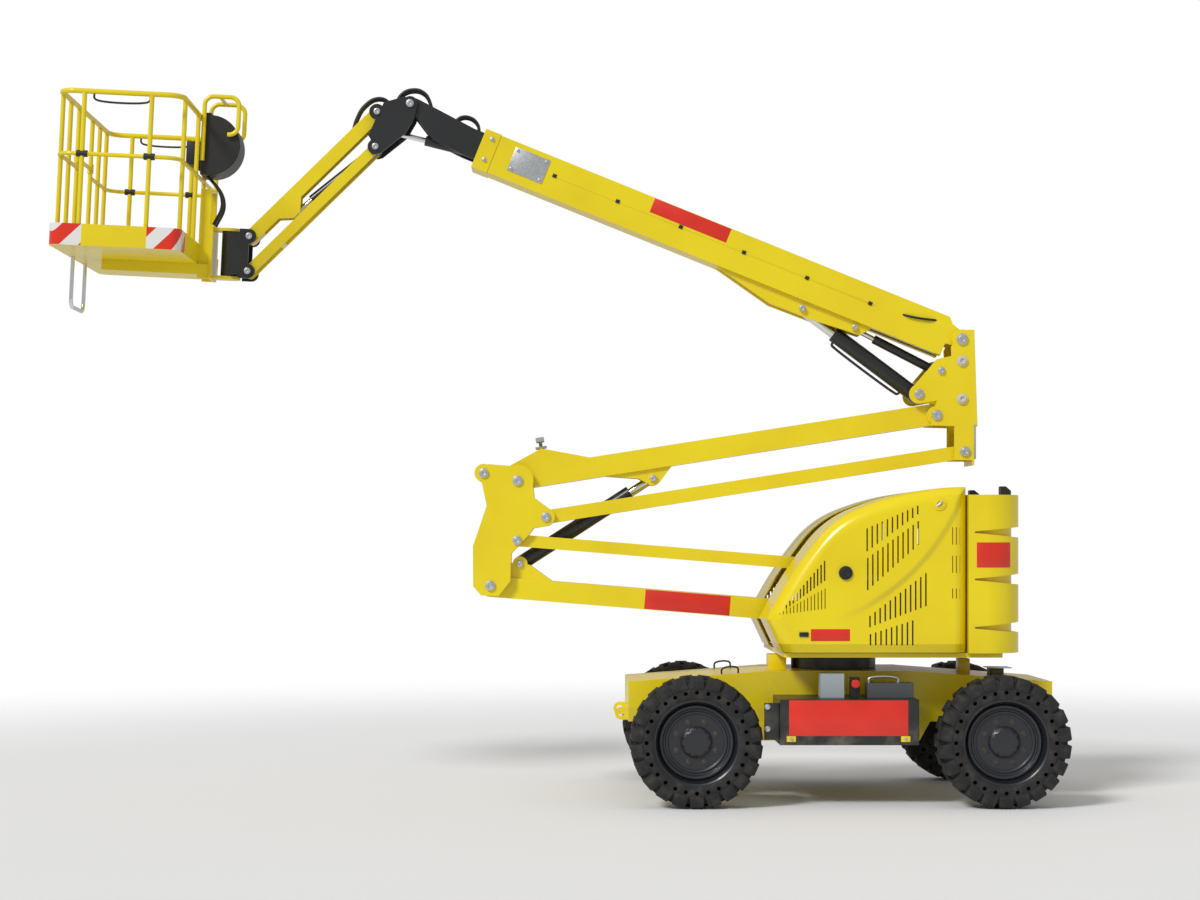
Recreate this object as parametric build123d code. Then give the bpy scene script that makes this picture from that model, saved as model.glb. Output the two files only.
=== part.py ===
from build123d import *
import os
from math import asin, atan2, cos, degrees, hypot, radians, sin

# Articulating boom lift. Origin on the ground under the slew axis, +Z up.
# +X points to the counterweight and the steered wheels, -X to the basket, +Y to the left side.
# All sizes are in millimetres and degrees.

# Clearances
PIN_CLEARANCE = 0.3
SIDE_GAP = 5.0

# Wheels
TYRE_DIAMETER = 840.0
TYRE_WIDTH = 300.0
TREAD_LUG_COUNT = 22
TREAD_LUG_LENGTH = 88.0
TREAD_LUG_HEIGHT = 27.0
TREAD_LUG_DRAFT = 4.0
TREAD_FLAT = 226.0
SHOULDER_TAPER = 0.88
TYRE_BORE_SIDES = 32
WHEELBASE = 1950.0
TRACK = 1850.0
RIM_DIAMETER = 573.0
RIM_WALL = 14.0
RIM_DISH = 90.0
RIM_DISC = 22.0
HUB_COVER_DIAMETER = 200.0
HUB_COVER_PROUD = 40.0
HUB_COVER_STEP = 15.0
HUB_COVER_TAPER = 30.0
RIM_CONE = 20.0
RIM_LIP = 12.0
RIM_LIP_SLOPE = 8.0
SPINDLE_DIAMETER = 90.0
SPINDLE_ROOT = 50.0
WHEEL_MOTOR_LENGTH = 180.0
WHEEL_MOTOR_ROOT = 30.0

# Axles and steering
AXLE_BEAM_HEIGHT = 180.0
AXLE_BEAM_DEPTH = 150.0
KINGPIN_SPREAD = 1580.0
KINGPIN_DIAMETER = 50.0
FORK_HEIGHT = 230.0
FORK_DEPTH = 120.0
FORK_CHEEK = 32.0
FORK_WEB = 40.0
STEER_ARM_REACH = 125.0
STEER_ARM_INSET = 20.0
STEER_ARM_THICKNESS = 25.0
STEER_ARM_HALF_WIDTH = 28.0
TIE_ROD_DIAMETER = 36.0

# Chassis
CHASSIS_LENGTH = 2780.0
CHASSIS_WIDTH = 860.0
CHASSIS_TOP = 842.0
CHASSIS_END_TOP = 772.0
CHASSIS_TOP_FLAT = 900.0
CHASSIS_BOTTOM = 385.0
CHASSIS_BELLY_LENGTH = 1040.0
CHASSIS_WALL = 16.0
END_CHAMFER = 70.0
BULKHEAD_INSET = 60.0
LUG_EDGE_INSET = 172.0
LUG_THICKNESS = 25.0
LUG_HOLE_DIAMETER = 40.0
LUG_RADIUS = 42.0
SLEW_DIAMETER = 566.0
SLEW_HEIGHT = 103.0
SLEW_GAP = 0.5
SLEW_RING_WALL = 90.0

# Boxes between the wheels
SIDE_BOX_WHEEL_GAP = 113.0
SIDE_BOX_HEIGHT = 290.0
SIDE_BOX_BOTTOM = 397.0
SIDE_BOX_OUTER = 950.0
SIDE_BOX_WALL = 6.0

# Fittings on the right side box
FITTINGS_INNER = 640.0
CONTROL_BOX_X = (-166.0, -14.0)
CONTROL_BOX_OUTER = 780.0
CONTROL_BOX_HEIGHT = 155.0
STOP_BOX_X = (26.0, 86.0)
STOP_BOX_Y = (710.0, 770.0)
STOP_BOX_HEIGHT = 130.0
STOP_BUTTON_RADIUS = 22.0
STOP_BUTTON_RISE = 90.0
STOP_BUTTON_PROUD = 20.0
LONG_BOX_X = (134.0, 430.0)
LONG_BOX_OUTER = 790.0
LONG_BOX_HEIGHT = 95.0

# Turret
TURRET_FLOOR_THICKNESS = 30.0
TURRET_FLOOR_FRONT = 400.0
TURRET_FLOOR_REAR = 1000.0
TURRET_FLOOR_INSET = 60.0
TURRET_HALF_WIDTH = 850.0
PLATE_INNER = 150.0
PLATE_THICKNESS = 20.0
HOOD_SLOT = 200.0
HOOD_WALL = 8.0
HOOD_EDGE_RADIUS = 90.0
HOOD_TOP = 2040.0
HOOD_REAR = 766.0
HOOD_NOSE = -512.0
HOOD_FOOT = -414.0
HOOD_NOSE_DROP = 850.0
HOOD_CROWN_X = 332.0
HOOD_CROWN_DROP = 52.0
HOOD_BROW_X = 80.0
HOOD_BROW_DROP = 135.0
HOOD_CHEEK_X = -188.0
HOOD_CHEEK_DROP = 336.0
HOOD_LIP = 40.0
HOOD_PIN_DIAMETER = 16.0
HOOD_PIN_INSET = 15.0
HOOD_PIN_LENGTH = 50.0
LOUVRE_WIDTH = 10.0
NARROW_LOUVRE_WIDTH = 6.0
COUNTERWEIGHT_REAR = 1130.0
COUNTERWEIGHT_TOP = 1990.0
COUNTERWEIGHT_CORNER = 240.0
COUNTERWEIGHT_WALL = 130.0
GROOVE_DEPTH = 45.0
GROOVE_HEIGHT = 70.0
GROOVE_TIP_HEIGHT = 10.0
GROOVE_START = 40.0
GROOVE_DROPS = (240.0, 542.0, 851.0)
LAMP_LENGTH = 68.0
LAMP_WIDTH = 80.0
LAMP_HEIGHT = 58.0
LAMP_INSET = 48.0
LAMP_Y = 600.0
ENGINE_X = (60.0, 620.0)
ENGINE_Y = (300.0, 760.0)
ENGINE_HEIGHT = 520.0
TANK_X = (120.0, 560.0)
TANK_Y = (320.0, 760.0)
TANK_HEIGHT = 460.0

# Louvre banks of a hood: columns, slot width, then the first and the last column's distance
# from the hood's rear, and their lower and upper ends' distances from its top
LOUVRE_BANKS = (
    (11, LOUVRE_WIDTH, (642, 319), (412, 176), (265, 121)),
    (11, LOUVRE_WIDTH, (638, 316), (660, 372), (455, 220)),
    (12, LOUVRE_WIDTH, (624, 267), (897, 763), (824, 552)),
    (9, LOUVRE_WIDTH, (621, 351), (1013, 1013), (941, 854)),
    (12, LOUVRE_WIDTH, (1158, 914), (779, 601), (754, 473)),
    (14, NARROW_LOUVRE_WIDTH, (1200, 911), (818, 779), (807, 650)),
    (4, NARROW_LOUVRE_WIDTH, (96, 25), (369, 369), (259, 259)),
    (4, NARROW_LOUVRE_WIDTH, (96, 25), (550, 550), (440, 440)),
    (4, NARROW_LOUVRE_WIDTH, (96, 25), (714, 714), (650, 650)),
)

# Riser: two equal arms, each with a parallel link
ARM_LENGTH = 2828.0
LOWER_ARM_ANGLE = 4.64
UPPER_ARM_ANGLE = 8.89
ARM_HALF_WIDTH = 110.0
ARM_WALL = 9.0
LOWER_PIVOT_X = 514.0
LOWER_PIVOT_Z = 1167.5
LOWER_LINK_DX = 180.0
LOWER_LINK_DZ = 302.0
UPPER_LINK_DX = 188.0
UPPER_LINK_DZ = -243.0
KNUCKLE_RISE_X = 183.7
KNUCKLE_RISE_Z = 700.6
ARM_PIN_DIAMETER = 70.0
LINK_PIN_DIAMETER = 56.0
LINK_INNER = 95.0
LINK_OUTER = 130.0
LOWER_LINK_DEPTH = 80.0
UPPER_LINK_DEPTH = 90.0
LANE_HALF = 46.0
EAR_INNER = 62.0
EAR_THICKNESS = 26.0
ARM_SLOT_START = 600.0
ARM_SLOT_END = 1020.0
LOWER_ARM_BELOW = 76.0
LOWER_ARM_ABOVE = 62.0
LOWER_ARM_SOLID_END = 120.0
UPPER_ARM_BELOW = 60.0
UPPER_ARM_ABOVE = 80.0
UPPER_ARM_SOLID_END = 140.0
UPPER_ARM_NOSE_RADIUS = 78.0
ARM_BOSS_RADIUS = 62.0
EAR_RADIUS = 50.0
EAR_PIN_HEAD_RADIUS = 26.0
EAR_PIN_HEAD = 14.0
LOWER_LINK_TIES = (800.0, 2300.0)
UPPER_LINK_TIES = (950.0, 2300.0)
KNUCKLE_LOBE_DX = -227.0
KNUCKLE_LOBE_DZ = 51.0
KNUCKLE_LOBE_RADIUS = 61.0
KNUCKLE_TOP_RADIUS = 106.0
KNUCKLE_LINK_RADIUS = 60.0
KNUCKLE_TUBE_RADIUS = 34.0
KNUCKLE_BACK_PLATE = 16.0
HUMP_X = 188.0
HUMP_Z = 190.0
REST_GAP = 0.5
REST_FOOT_LENGTH = 76.0
REST_FOOT_WIDTH = 120.0
REST_FOOT_HEIGHT = 15.0
REST_POST_LENGTH = 24.0
REST_POST_WIDTH = 40.0
REST_POST_HEIGHT = 45.0
REST_PAD_LENGTH = 56.0
REST_PAD_WIDTH = 180.0
REST_PAD_HEIGHT = 30.0

# Mast and boom
BOOM_PIVOT_DX = 168.6
BOOM_PIVOT_DZ = 504.5
BOOM_ANGLE = 22.0
BOOM_TIP = 3470.0
BOOM_REAR = 90.0
BOOM_BELOW = 148.0
BOOM_ABOVE = 115.0
BOOM_HALF_WIDTH = 125.0
BOOM_WALL = 9.0
BOOM_REAR_CHAMFER = 36.0
BOOM_REAR_WALL = 40.0
BOOM_LUG_THICKNESS = 35.0
BOOM_EYE_RADIUS = 56.0
BOOM_PIN_HEAD_RADIUS = 24.0
BOOM_PIN_HEAD = 12.0
MAST_LIFT_RADIUS = 65.0
MAST_BOOM_RADIUS = 66.0
COLLAR_LENGTH = 110.0
COLLAR_PROUD = 5.0
INNER_HALF_HEIGHT = 95.0
INNER_HALF_WIDTH = 90.0
INNER_WALL = 8.0
INNER_REAR = 1200.0
PAD_LENGTH = 80.0
EYE_SLOT_END = 1190.0
HEAD_PIVOT_A = 4008.0
HEAD_PIVOT_B = 87.0
HEAD_PIN_DIAMETER = 50.0
NOSE_INNER = 68.0
NOSE_OVERLAP = 120.0
NOSE_TOP = 137.0
NOSE_TIE_THICKNESS = 16.0
NOSE_TIE_SETBACK = 108.0
INNER_SETBACK = 60.0

# Head, jib and platform bracket
HEAD_TILT = 2.8
HEAD_INNER = 95.0
HEAD_PLATE = 20.0
HEAD_EYE_RADIUS = 50.0
HEAD_JIB_DX = -218.0
HEAD_JIB_DZ = -65.0
HEAD_JIB_EYE_RADIUS = 52.0
JIB_LENGTH = 1194.0
JIB_ANGLE = 44.25
JIB_SPACING = 234.0
JIB_HALF_DEPTH = 45.0
JIB_HALF_WIDTH = 58.0
JIB_WALL = 7.0
JIB_BAR_HALF_DEPTH = 34.0
JIB_BAR_INNER = 64.0
JIB_BAR_OUTER = 86.0
JIB_TIE_AT = 880.0
JIB_TIE_LENGTH = 40.0
JIB_PIN_DIAMETER = 36.0
ROTATOR_DX = -125.0
ROTATOR_DIAMETER = 140.0
ROTATOR_HEIGHT = 300.0
ROTATOR_WEB_STEP = 10.0
BRACKET_EYE_RADIUS = 48.0
BRACKET_CHEEK = 63.0

# Cylinders: radii of barrel, rod and eyes, lengths of barrel and rod
RISER_BARREL_RADIUS = 50.0
RISER_BARREL_LENGTH = 880.0
RISER_BASE_EYE_RADIUS = 50.0
RISER_ROD_RADIUS = 30.0
RISER_ROD_LENGTH = 920.0
RISER_ROD_EYE_RADIUS = 46.0
LIFT_BARREL_RADIUS = 52.0
LIFT_BARREL_LENGTH = 690.0
LIFT_BASE_EYE_RADIUS = 56.0
LIFT_ROD_RADIUS = 32.0
LIFT_ROD_LENGTH = 690.0
LIFT_ROD_EYE_RADIUS = 40.0
LEVEL_BARREL_RADIUS = 30.0
LEVEL_BARREL_LENGTH = 485.0
LEVEL_BASE_EYE_RADIUS = 36.0
LEVEL_ROD_RADIUS = 17.0
LEVEL_ROD_LENGTH = 440.0
LEVEL_ROD_EYE_RADIUS = 22.0
SLAVE_BARREL_RADIUS = 34.0
SLAVE_BARREL_LENGTH = 365.0
SLAVE_BASE_EYE_RADIUS = 34.0
SLAVE_ROD_RADIUS = 18.0
SLAVE_ROD_LENGTH = 355.0
SLAVE_ROD_EYE_RADIUS = 30.0
SLAVE_EYE_HALF = 34.0
JIB_BARREL_RADIUS = 35.0
JIB_BARREL_LENGTH = 555.0
JIB_BASE_EYE_RADIUS = 42.0
JIB_ROD_RADIUS = 20.0
JIB_ROD_LENGTH = 560.0
JIB_ROD_EYE_RADIUS = 27.0
JIB_EYE_HALF = 40.0
BARREL_END_WALL = 10.0

# Basket, in a frame with its origin at the bracket's upper pin
BASKET_FRONT = -1180.0
BASKET_DEPTH = 845.0
BASKET_WIDTH = 1800.0
BASKET_BOTTOM = -205.0
FLOOR_THICKNESS = 8.0
TOE_HEIGHT = 140.0
TOE_WALL = 6.0
RAIL_HEIGHT = 990.0
MID_RAIL_HEIGHT = 590.0
RAIL_DIAMETER = 34.0
POST_DIAMETER = 30.0
MID_RAIL_DIAMETER = 27.0
RAIL_INSET = 30.0
RAIL_BEND = 100.0
ENTRY_HALF = 230.0
STEP_DROP = 330.0
STEP_INSET = 30.0
STEP_BAR_RADIUS = 13.0
STEP_BEND = 60.0
SIDE_POST_AT = (160.0, 590.0)
CORNER_POST_INSET = 20.0
REAR_POST_Y = 180.0
GATE_RISE = 60.0
GATE_SLEEVE_WALL = 6.0
GATE_SLEEVE_LENGTH = 60.0
CARRIER_BACK = (-262.0, -240.0)
CARRIER_BACK_HALF = 130.0
CARRIER_RISE = 180.0
CARRIER_CLAMP_HALF = 65.0
CARRIER_CLAMP_PLATE = 20.0
CARRIER_CLAMP_GAP = 1.0
CARRIER_POST_TOP = 300.0
CARRIER_POST_Y = 95.0
CARRIER_POST_WIDTH = 25.0
CARRIER_BEAM_HALF = 150.0
CARRIER_BEAM_DEPTH = 70.0
CARRIER_BEAM_FRONT = 210.0
CONSOLE_HALF_WIDTH = 130.0
CONSOLE_BASE = 60.0
CONSOLE_RADIUS = 200.0
CONSOLE_DROP = 190.0
CONSOLE_RISE = 215.0
GUARD_Y = 152.0
GUARD_RISE = 130.0
GUARD_DROP = 300.0
GUARD_REACH = 230.0
GUARD_HOOK_DROP = 120.0
GUARD_HOOK = 70.0
GUARD_BEND = 60.0
GUARD_TIE_AT = 100.0
GUARD_WALL_STEP = 2.0
GUARD_TIE_STEP = 5.0


def shifted(point, dx, dz):
    """A point moved in the XZ plane."""
    return (point[0] + dx, point[1] + dz)


def along(point, length, angle):
    """A point a length away at an angle above +X."""
    return (point[0] + length * cos(radians(angle)), point[1] + length * sin(radians(angle)))


def block(x, y, z):
    """A box between three pairs of limits."""
    middle = [(pair[0] + pair[1]) / 2 for pair in (x, y, z)]
    return Pos(*middle) * Box(x[1] - x[0], y[1] - y[0], z[1] - z[0])


def slab(points, low, high):
    """A plate cut to a closed outline in the XZ plane, between two Y values."""
    face = make_face(Plane.XZ * Polyline(*points, close=True))
    return Pos(0, low, 0) * extrude(face, amount=high - low, dir=(0, 1, 0))


def disc(point, radius, low, high):
    """A round boss or pin along Y."""
    return Pos(point[0], (low + high) / 2, point[1]) * Rot(90, 0, 0) * Cylinder(radius, high - low)


def bore(point, diameter, half):
    """The running hole for a pin along Y."""
    return disc(point, diameter / 2 + PIN_CLEARANCE, -half, half)


def both_sides(solid):
    """A solid and its mirror image across the machine's middle plane."""
    return solid + mirror(solid, about=Plane.XZ)


def tube(points, radius, bend):
    """A round bar along straight runs joined by bends."""
    path = FilletPolyline(*points, radius=bend) if len(points) > 2 else Line(*points)
    start = Plane(origin=path @ 0, z_dir=path % 0)
    return sweep(start * Circle(radius), path=path)


def bearing(start, end):
    """The angle of a line above +X, in degrees."""
    return degrees(atan2(end[1] - start[1], end[0] - start[0]))


def cylinder_barrel(base, rod_pin, radius, rod_radius, length, eye_radius, pin_diameter, half):
    """A cylinder's barrel with its base eye."""
    body = Pos(length / 2, 0, 0) * Rot(0, 90, 0) * Cylinder(radius, length)
    body += disc((0, 0), eye_radius, -half, half)
    hollow = length - eye_radius
    rod_hole = Rot(0, 90, 0) * Cylinder(rod_radius + PIN_CLEARANCE, hollow)
    body -= Pos(eye_radius + BARREL_END_WALL + hollow / 2, 0, 0) * rod_hole
    body -= bore((0, 0), pin_diameter, 2 * half)
    return Pos(base[0], 0, base[1]) * Rot(0, -bearing(base, rod_pin), 0) * body


def cylinder_rod(base, rod_pin, rod_radius, length, eye_radius, half):
    """A cylinder's rod with the eye at its outer end."""
    reach = hypot(rod_pin[0] - base[0], rod_pin[1] - base[1])
    body = Pos(reach - length / 2, 0, 0) * Rot(0, 90, 0) * Cylinder(rod_radius, length)
    body += disc((reach, 0), eye_radius, -half, half)
    return Pos(base[0], 0, base[1]) * Rot(0, -bearing(base, rod_pin), 0) * body


# Pivot points
LOWER_PIVOT = (LOWER_PIVOT_X, LOWER_PIVOT_Z)
LOWER_LINK_PIVOT = shifted(LOWER_PIVOT, LOWER_LINK_DX, LOWER_LINK_DZ)
KNUCKLE_PIN = along(LOWER_PIVOT, ARM_LENGTH, 180 - LOWER_ARM_ANGLE)
KNUCKLE_LINK_PIN = shifted(KNUCKLE_PIN, LOWER_LINK_DX, LOWER_LINK_DZ)
KNUCKLE_UPPER_PIN = shifted(KNUCKLE_PIN, KNUCKLE_RISE_X, KNUCKLE_RISE_Z)
KNUCKLE_UPPER_LINK_PIN = shifted(KNUCKLE_UPPER_PIN, UPPER_LINK_DX, UPPER_LINK_DZ)
MAST_PIN = along(KNUCKLE_UPPER_PIN, ARM_LENGTH, UPPER_ARM_ANGLE)
MAST_LINK_PIN = shifted(MAST_PIN, UPPER_LINK_DX, UPPER_LINK_DZ)
BOOM_PIVOT = shifted(MAST_PIN, BOOM_PIVOT_DX, BOOM_PIVOT_DZ)


def boom_point(a, b):
    """A point of the boom, from its length towards the tip and its height over the pivot."""
    rise, run = sin(radians(BOOM_ANGLE)), cos(radians(BOOM_ANGLE))
    return (BOOM_PIVOT[0] - a * run + b * rise, BOOM_PIVOT[1] + a * rise + b * run)


HEAD_PIVOT = boom_point(HEAD_PIVOT_A, HEAD_PIVOT_B)


def head_point(x, z):
    """A point of the tilted head, from its pivot."""
    lean, level = sin(radians(HEAD_TILT)), cos(radians(HEAD_TILT))
    return (HEAD_PIVOT[0] + x * level + z * lean, HEAD_PIVOT[1] - x * lean + z * level)


JIB_TOP_PIN = head_point(HEAD_JIB_DX, HEAD_JIB_DZ)
JIB_LOW_PIN = head_point(HEAD_JIB_DX, HEAD_JIB_DZ - JIB_SPACING)
BRACKET_TOP_PIN = along(JIB_TOP_PIN, JIB_LENGTH, 180 + JIB_ANGLE)
BRACKET_LOW_PIN = along(JIB_LOW_PIN, JIB_LENGTH, 180 + JIB_ANGLE)
BASKET_PLACE = Pos(BRACKET_TOP_PIN[0], 0, BRACKET_TOP_PIN[1]) * Rot(0, HEAD_TILT, 0)

# Cylinder pins
ARM_EAR = (186.0, 160.0)
LIFT_FOOT = (-118.0, 140.0)
LEVEL_FOOT = (30.0, 296.0)
SLAVE_EAR = (-97.0, -185.0)
LIFT_LUG = (1062.0, -198.0)
LEVEL_LUG = (687.0, -185.0)
SLAVE_LUG = (3469.0, -40.0)
ARM_BRACKET = (898.0, -122.0)
JIB_LUG = (-864.0, -90.0)
LOWER_ARM_PLACE = Pos(KNUCKLE_PIN[0], 0, KNUCKLE_PIN[1]) * Rot(0, LOWER_ARM_ANGLE, 0)
UPPER_ARM_PLACE = Pos(KNUCKLE_UPPER_PIN[0], 0, KNUCKLE_UPPER_PIN[1]) * Rot(0, -UPPER_ARM_ANGLE, 0)
BOOM_PLACE = Pos(BOOM_PIVOT[0], 0, BOOM_PIVOT[1]) * Rot(0, BOOM_ANGLE, 0)
HEAD_PLACE = Pos(HEAD_PIVOT[0], 0, HEAD_PIVOT[1]) * Rot(0, HEAD_TILT, 0)
JIB_TOP_PLACE = Pos(JIB_TOP_PIN[0], 0, JIB_TOP_PIN[1]) * Rot(0, -JIB_ANGLE, 0)
JIB_LOW_PLACE = Pos(JIB_LOW_PIN[0], 0, JIB_LOW_PIN[1]) * Rot(0, -JIB_ANGLE, 0)


def carried(place, x, z):
    """Where a point of a placed piece lies in the XZ plane."""
    position = (place * Pos(x, 0, z)).position
    return (position.X, position.Z)


RISER_BASE = carried(LOWER_ARM_PLACE, *ARM_EAR)
RISER_EYE = carried(UPPER_ARM_PLACE, *ARM_BRACKET)
LIFT_BASE = shifted(MAST_PIN, *LIFT_FOOT)
LIFT_EYE = boom_point(*LIFT_LUG)
LEVEL_BASE = shifted(MAST_PIN, *LEVEL_FOOT)
LEVEL_EYE = boom_point(*LEVEL_LUG)
SLAVE_BASE = boom_point(*SLAVE_LUG)
SLAVE_EYE = head_point(*SLAVE_EAR)
JIB_EYE = carried(JIB_TOP_PLACE, *JIB_LUG)

PLATE_OUTER = PLATE_INNER + PLATE_THICKNESS
PIN_HALF = PLATE_OUTER
BOSS_HALF = PLATE_INNER - SIDE_GAP
WHEEL_Z = TYRE_DIAMETER / 2
SLEW_TOP = CHASSIS_TOP + SLEW_HEIGHT
TURRET_FLOOR_BOTTOM = SLEW_TOP + SLEW_GAP
TURRET_FLOOR_TOP = TURRET_FLOOR_BOTTOM + TURRET_FLOOR_THICKNESS
AXLE_TOP = WHEEL_Z + AXLE_BEAM_HEIGHT / 2
CHASSIS_END_BOTTOM = AXLE_TOP
RIM_INNER_Y = TRACK / 2 - TYRE_WIDTH / 2
RIM_OUTER_Y = TRACK / 2 + TYRE_WIDTH / 2
DISC_OUTER_Y = RIM_OUTER_Y - RIM_DISH
DISC_INNER_Y = DISC_OUTER_Y - RIM_DISC
KINGPIN_Y = KINGPIN_SPREAD / 2
HOOD_PIN_Y = HOOD_SLOT + HOOD_PIN_INSET
HOOD_PIN_Z = COUNTERWEIGHT_TOP - HOOD_PIN_INSET

parts = {}


def chassis_frame():
    """Folded and welded tray with sloping ends, open below, with a tie-down lug at each corner."""
    end = CHASSIS_LENGTH / 2
    belly = CHASSIS_BELLY_LENGTH / 2
    flat = CHASSIS_TOP_FLAT / 2

    def profile(wall):
        """Side outline, set in by a wall on the top and ends."""
        low = CHASSIS_END_BOTTOM - (1 if wall else 0)
        belly_low = CHASSIS_BOTTOM - (1 if wall else 0)
        right = [
            (belly - wall, belly_low),
            (belly + END_CHAMFER - wall, low),
            (end - wall, low),
            (end - wall, CHASSIS_END_TOP - wall),
            (flat, CHASSIS_TOP - wall),
        ]
        left = [(-x, z) for x, z in reversed(right)]
        return right + left

    half = CHASSIS_WIDTH / 2
    frame = slab(profile(0), -half, half)
    frame -= slab(profile(CHASSIS_WALL), -half + CHASSIS_WALL, half - CHASSIS_WALL)
    bulkhead = block((-CHASSIS_WALL / 2, CHASSIS_WALL / 2), (-half, half), (CHASSIS_BOTTOM, CHASSIS_TOP))
    for x in (-belly + BULKHEAD_INSET, belly - BULKHEAD_INSET):
        frame += Pos(x, 0, 0) * bulkhead
    lug_z = CHASSIS_END_BOTTOM + LUG_RADIUS
    for side in (-1, 1):
        for y in (-half + LUG_EDGE_INSET, half - LUG_EDGE_INSET):
            lug = disc((end + LUG_RADIUS, lug_z), LUG_RADIUS, -LUG_THICKNESS / 2, LUG_THICKNESS / 2)
            lug += block(
                (end - CHASSIS_WALL, end + LUG_RADIUS),
                (-LUG_THICKNESS / 2, LUG_THICKNESS / 2),
                (lug_z - LUG_RADIUS, lug_z + LUG_RADIUS),
            )
            lug -= disc((end + LUG_RADIUS, lug_z), LUG_HOLE_DIAMETER / 2, -LUG_THICKNESS, LUG_THICKNESS)
            if side < 0:
                lug = mirror(lug, about=Plane.YZ)
            frame += Pos(0, y, 0) * lug
    return frame


def rear_axle():
    """Fixed axle beam with a wheel motor and spindle at each end."""
    x = -WHEELBASE / 2
    half = AXLE_BEAM_DEPTH / 2
    motor_end = DISC_INNER_Y - SIDE_GAP
    beam_end = motor_end - WHEEL_MOTOR_LENGTH + WHEEL_MOTOR_ROOT
    beam = block((x - half, x + half), (-beam_end, beam_end), (AXLE_TOP - AXLE_BEAM_HEIGHT, AXLE_TOP))
    motor = disc((x, WHEEL_Z), HUB_COVER_DIAMETER / 2, motor_end - WHEEL_MOTOR_LENGTH, motor_end)
    spindle = disc((x, WHEEL_Z), SPINDLE_DIAMETER / 2, motor_end - SPINDLE_ROOT, DISC_OUTER_Y)
    return beam + both_sides(motor + spindle)


def front_axle():
    """Steering axle beam with a fork and a kingpin at each end."""
    x = WHEELBASE / 2
    half = AXLE_BEAM_DEPTH / 2
    fork_low = WHEEL_Z - FORK_HEIGHT / 2
    fork_high = WHEEL_Z + FORK_HEIGHT / 2
    inner = KINGPIN_Y - FORK_DEPTH
    beam_end = inner - FORK_WEB
    cheek_x = (x - FORK_DEPTH / 2, x + FORK_DEPTH / 2)
    beam = block((x - half, x + half), (-beam_end, beam_end), (AXLE_TOP - AXLE_BEAM_HEIGHT, AXLE_TOP))
    fork = block(cheek_x, (beam_end, inner), (fork_low - FORK_CHEEK, fork_high + FORK_CHEEK))
    for low in (fork_low - FORK_CHEEK, fork_high):
        cheek = block(cheek_x, (beam_end, KINGPIN_Y), (low, low + FORK_CHEEK))
        cheek += Pos(x, KINGPIN_Y, low + FORK_CHEEK / 2) * Cylinder(FORK_DEPTH / 2, FORK_CHEEK)
        fork += cheek
    fork += Pos(x, KINGPIN_Y, WHEEL_Z) * Cylinder(KINGPIN_DIAMETER / 2, FORK_HEIGHT + 2 * FORK_CHEEK)
    return beam + both_sides(fork)


def steering_knuckle(side):
    """Knuckle turning on the kingpin, with the wheel spindle and a steering arm under it."""
    x = WHEELBASE / 2
    half = FORK_HEIGHT / 2 - SIDE_GAP
    motor_end = DISC_INNER_Y - SIDE_GAP
    body = Pos(x, KINGPIN_Y, WHEEL_Z) * Cylinder(FORK_DEPTH / 2 - SIDE_GAP, 2 * half)
    body += disc((x, WHEEL_Z), HUB_COVER_DIAMETER / 2, KINGPIN_Y + WHEEL_MOTOR_ROOT, motor_end)
    body += disc((x, WHEEL_Z), SPINDLE_DIAMETER / 2, motor_end - SPINDLE_ROOT, DISC_OUTER_Y)
    arm_z = (WHEEL_Z - half, WHEEL_Z - half + STEER_ARM_THICKNESS)
    arm_x = x - STEER_ARM_REACH
    arm_y = KINGPIN_Y - STEER_ARM_INSET
    width = STEER_ARM_HALF_WIDTH
    arm = make_face(
        Polyline(
            (x, KINGPIN_Y + width), (arm_x, arm_y + width), (arm_x, arm_y - width), (x, KINGPIN_Y - width),
            close=True,
        )
    )
    arm = Pos(0, 0, arm_z[0]) * extrude(arm, amount=STEER_ARM_THICKNESS, dir=(0, 0, 1))
    arm += Pos(arm_x, arm_y, sum(arm_z) / 2) * Cylinder(width, STEER_ARM_THICKNESS)
    body += arm
    body -= Pos(x, KINGPIN_Y, WHEEL_Z) * Cylinder(KINGPIN_DIAMETER / 2 + PIN_CLEARANCE, 4 * half)
    return body if side > 0 else mirror(body, about=Plane.XZ)


def tie_rod():
    """Bar joining the two steering arms, with an eye under each arm."""
    x = WHEELBASE / 2 - STEER_ARM_REACH
    y = KINGPIN_Y - STEER_ARM_INSET
    eye_top = WHEEL_Z - FORK_HEIGHT / 2 + SIDE_GAP - PIN_CLEARANCE
    eye_height = TIE_ROD_DIAMETER + 2 * SIDE_GAP
    z = eye_top - eye_height / 2
    bar = Pos(x, 0, z) * Rot(90, 0, 0) * Cylinder(TIE_ROD_DIAMETER / 2, 2 * y)
    eye = Pos(x, y, z) * Cylinder(STEER_ARM_HALF_WIDTH, eye_height)
    return bar + both_sides(eye)


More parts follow.
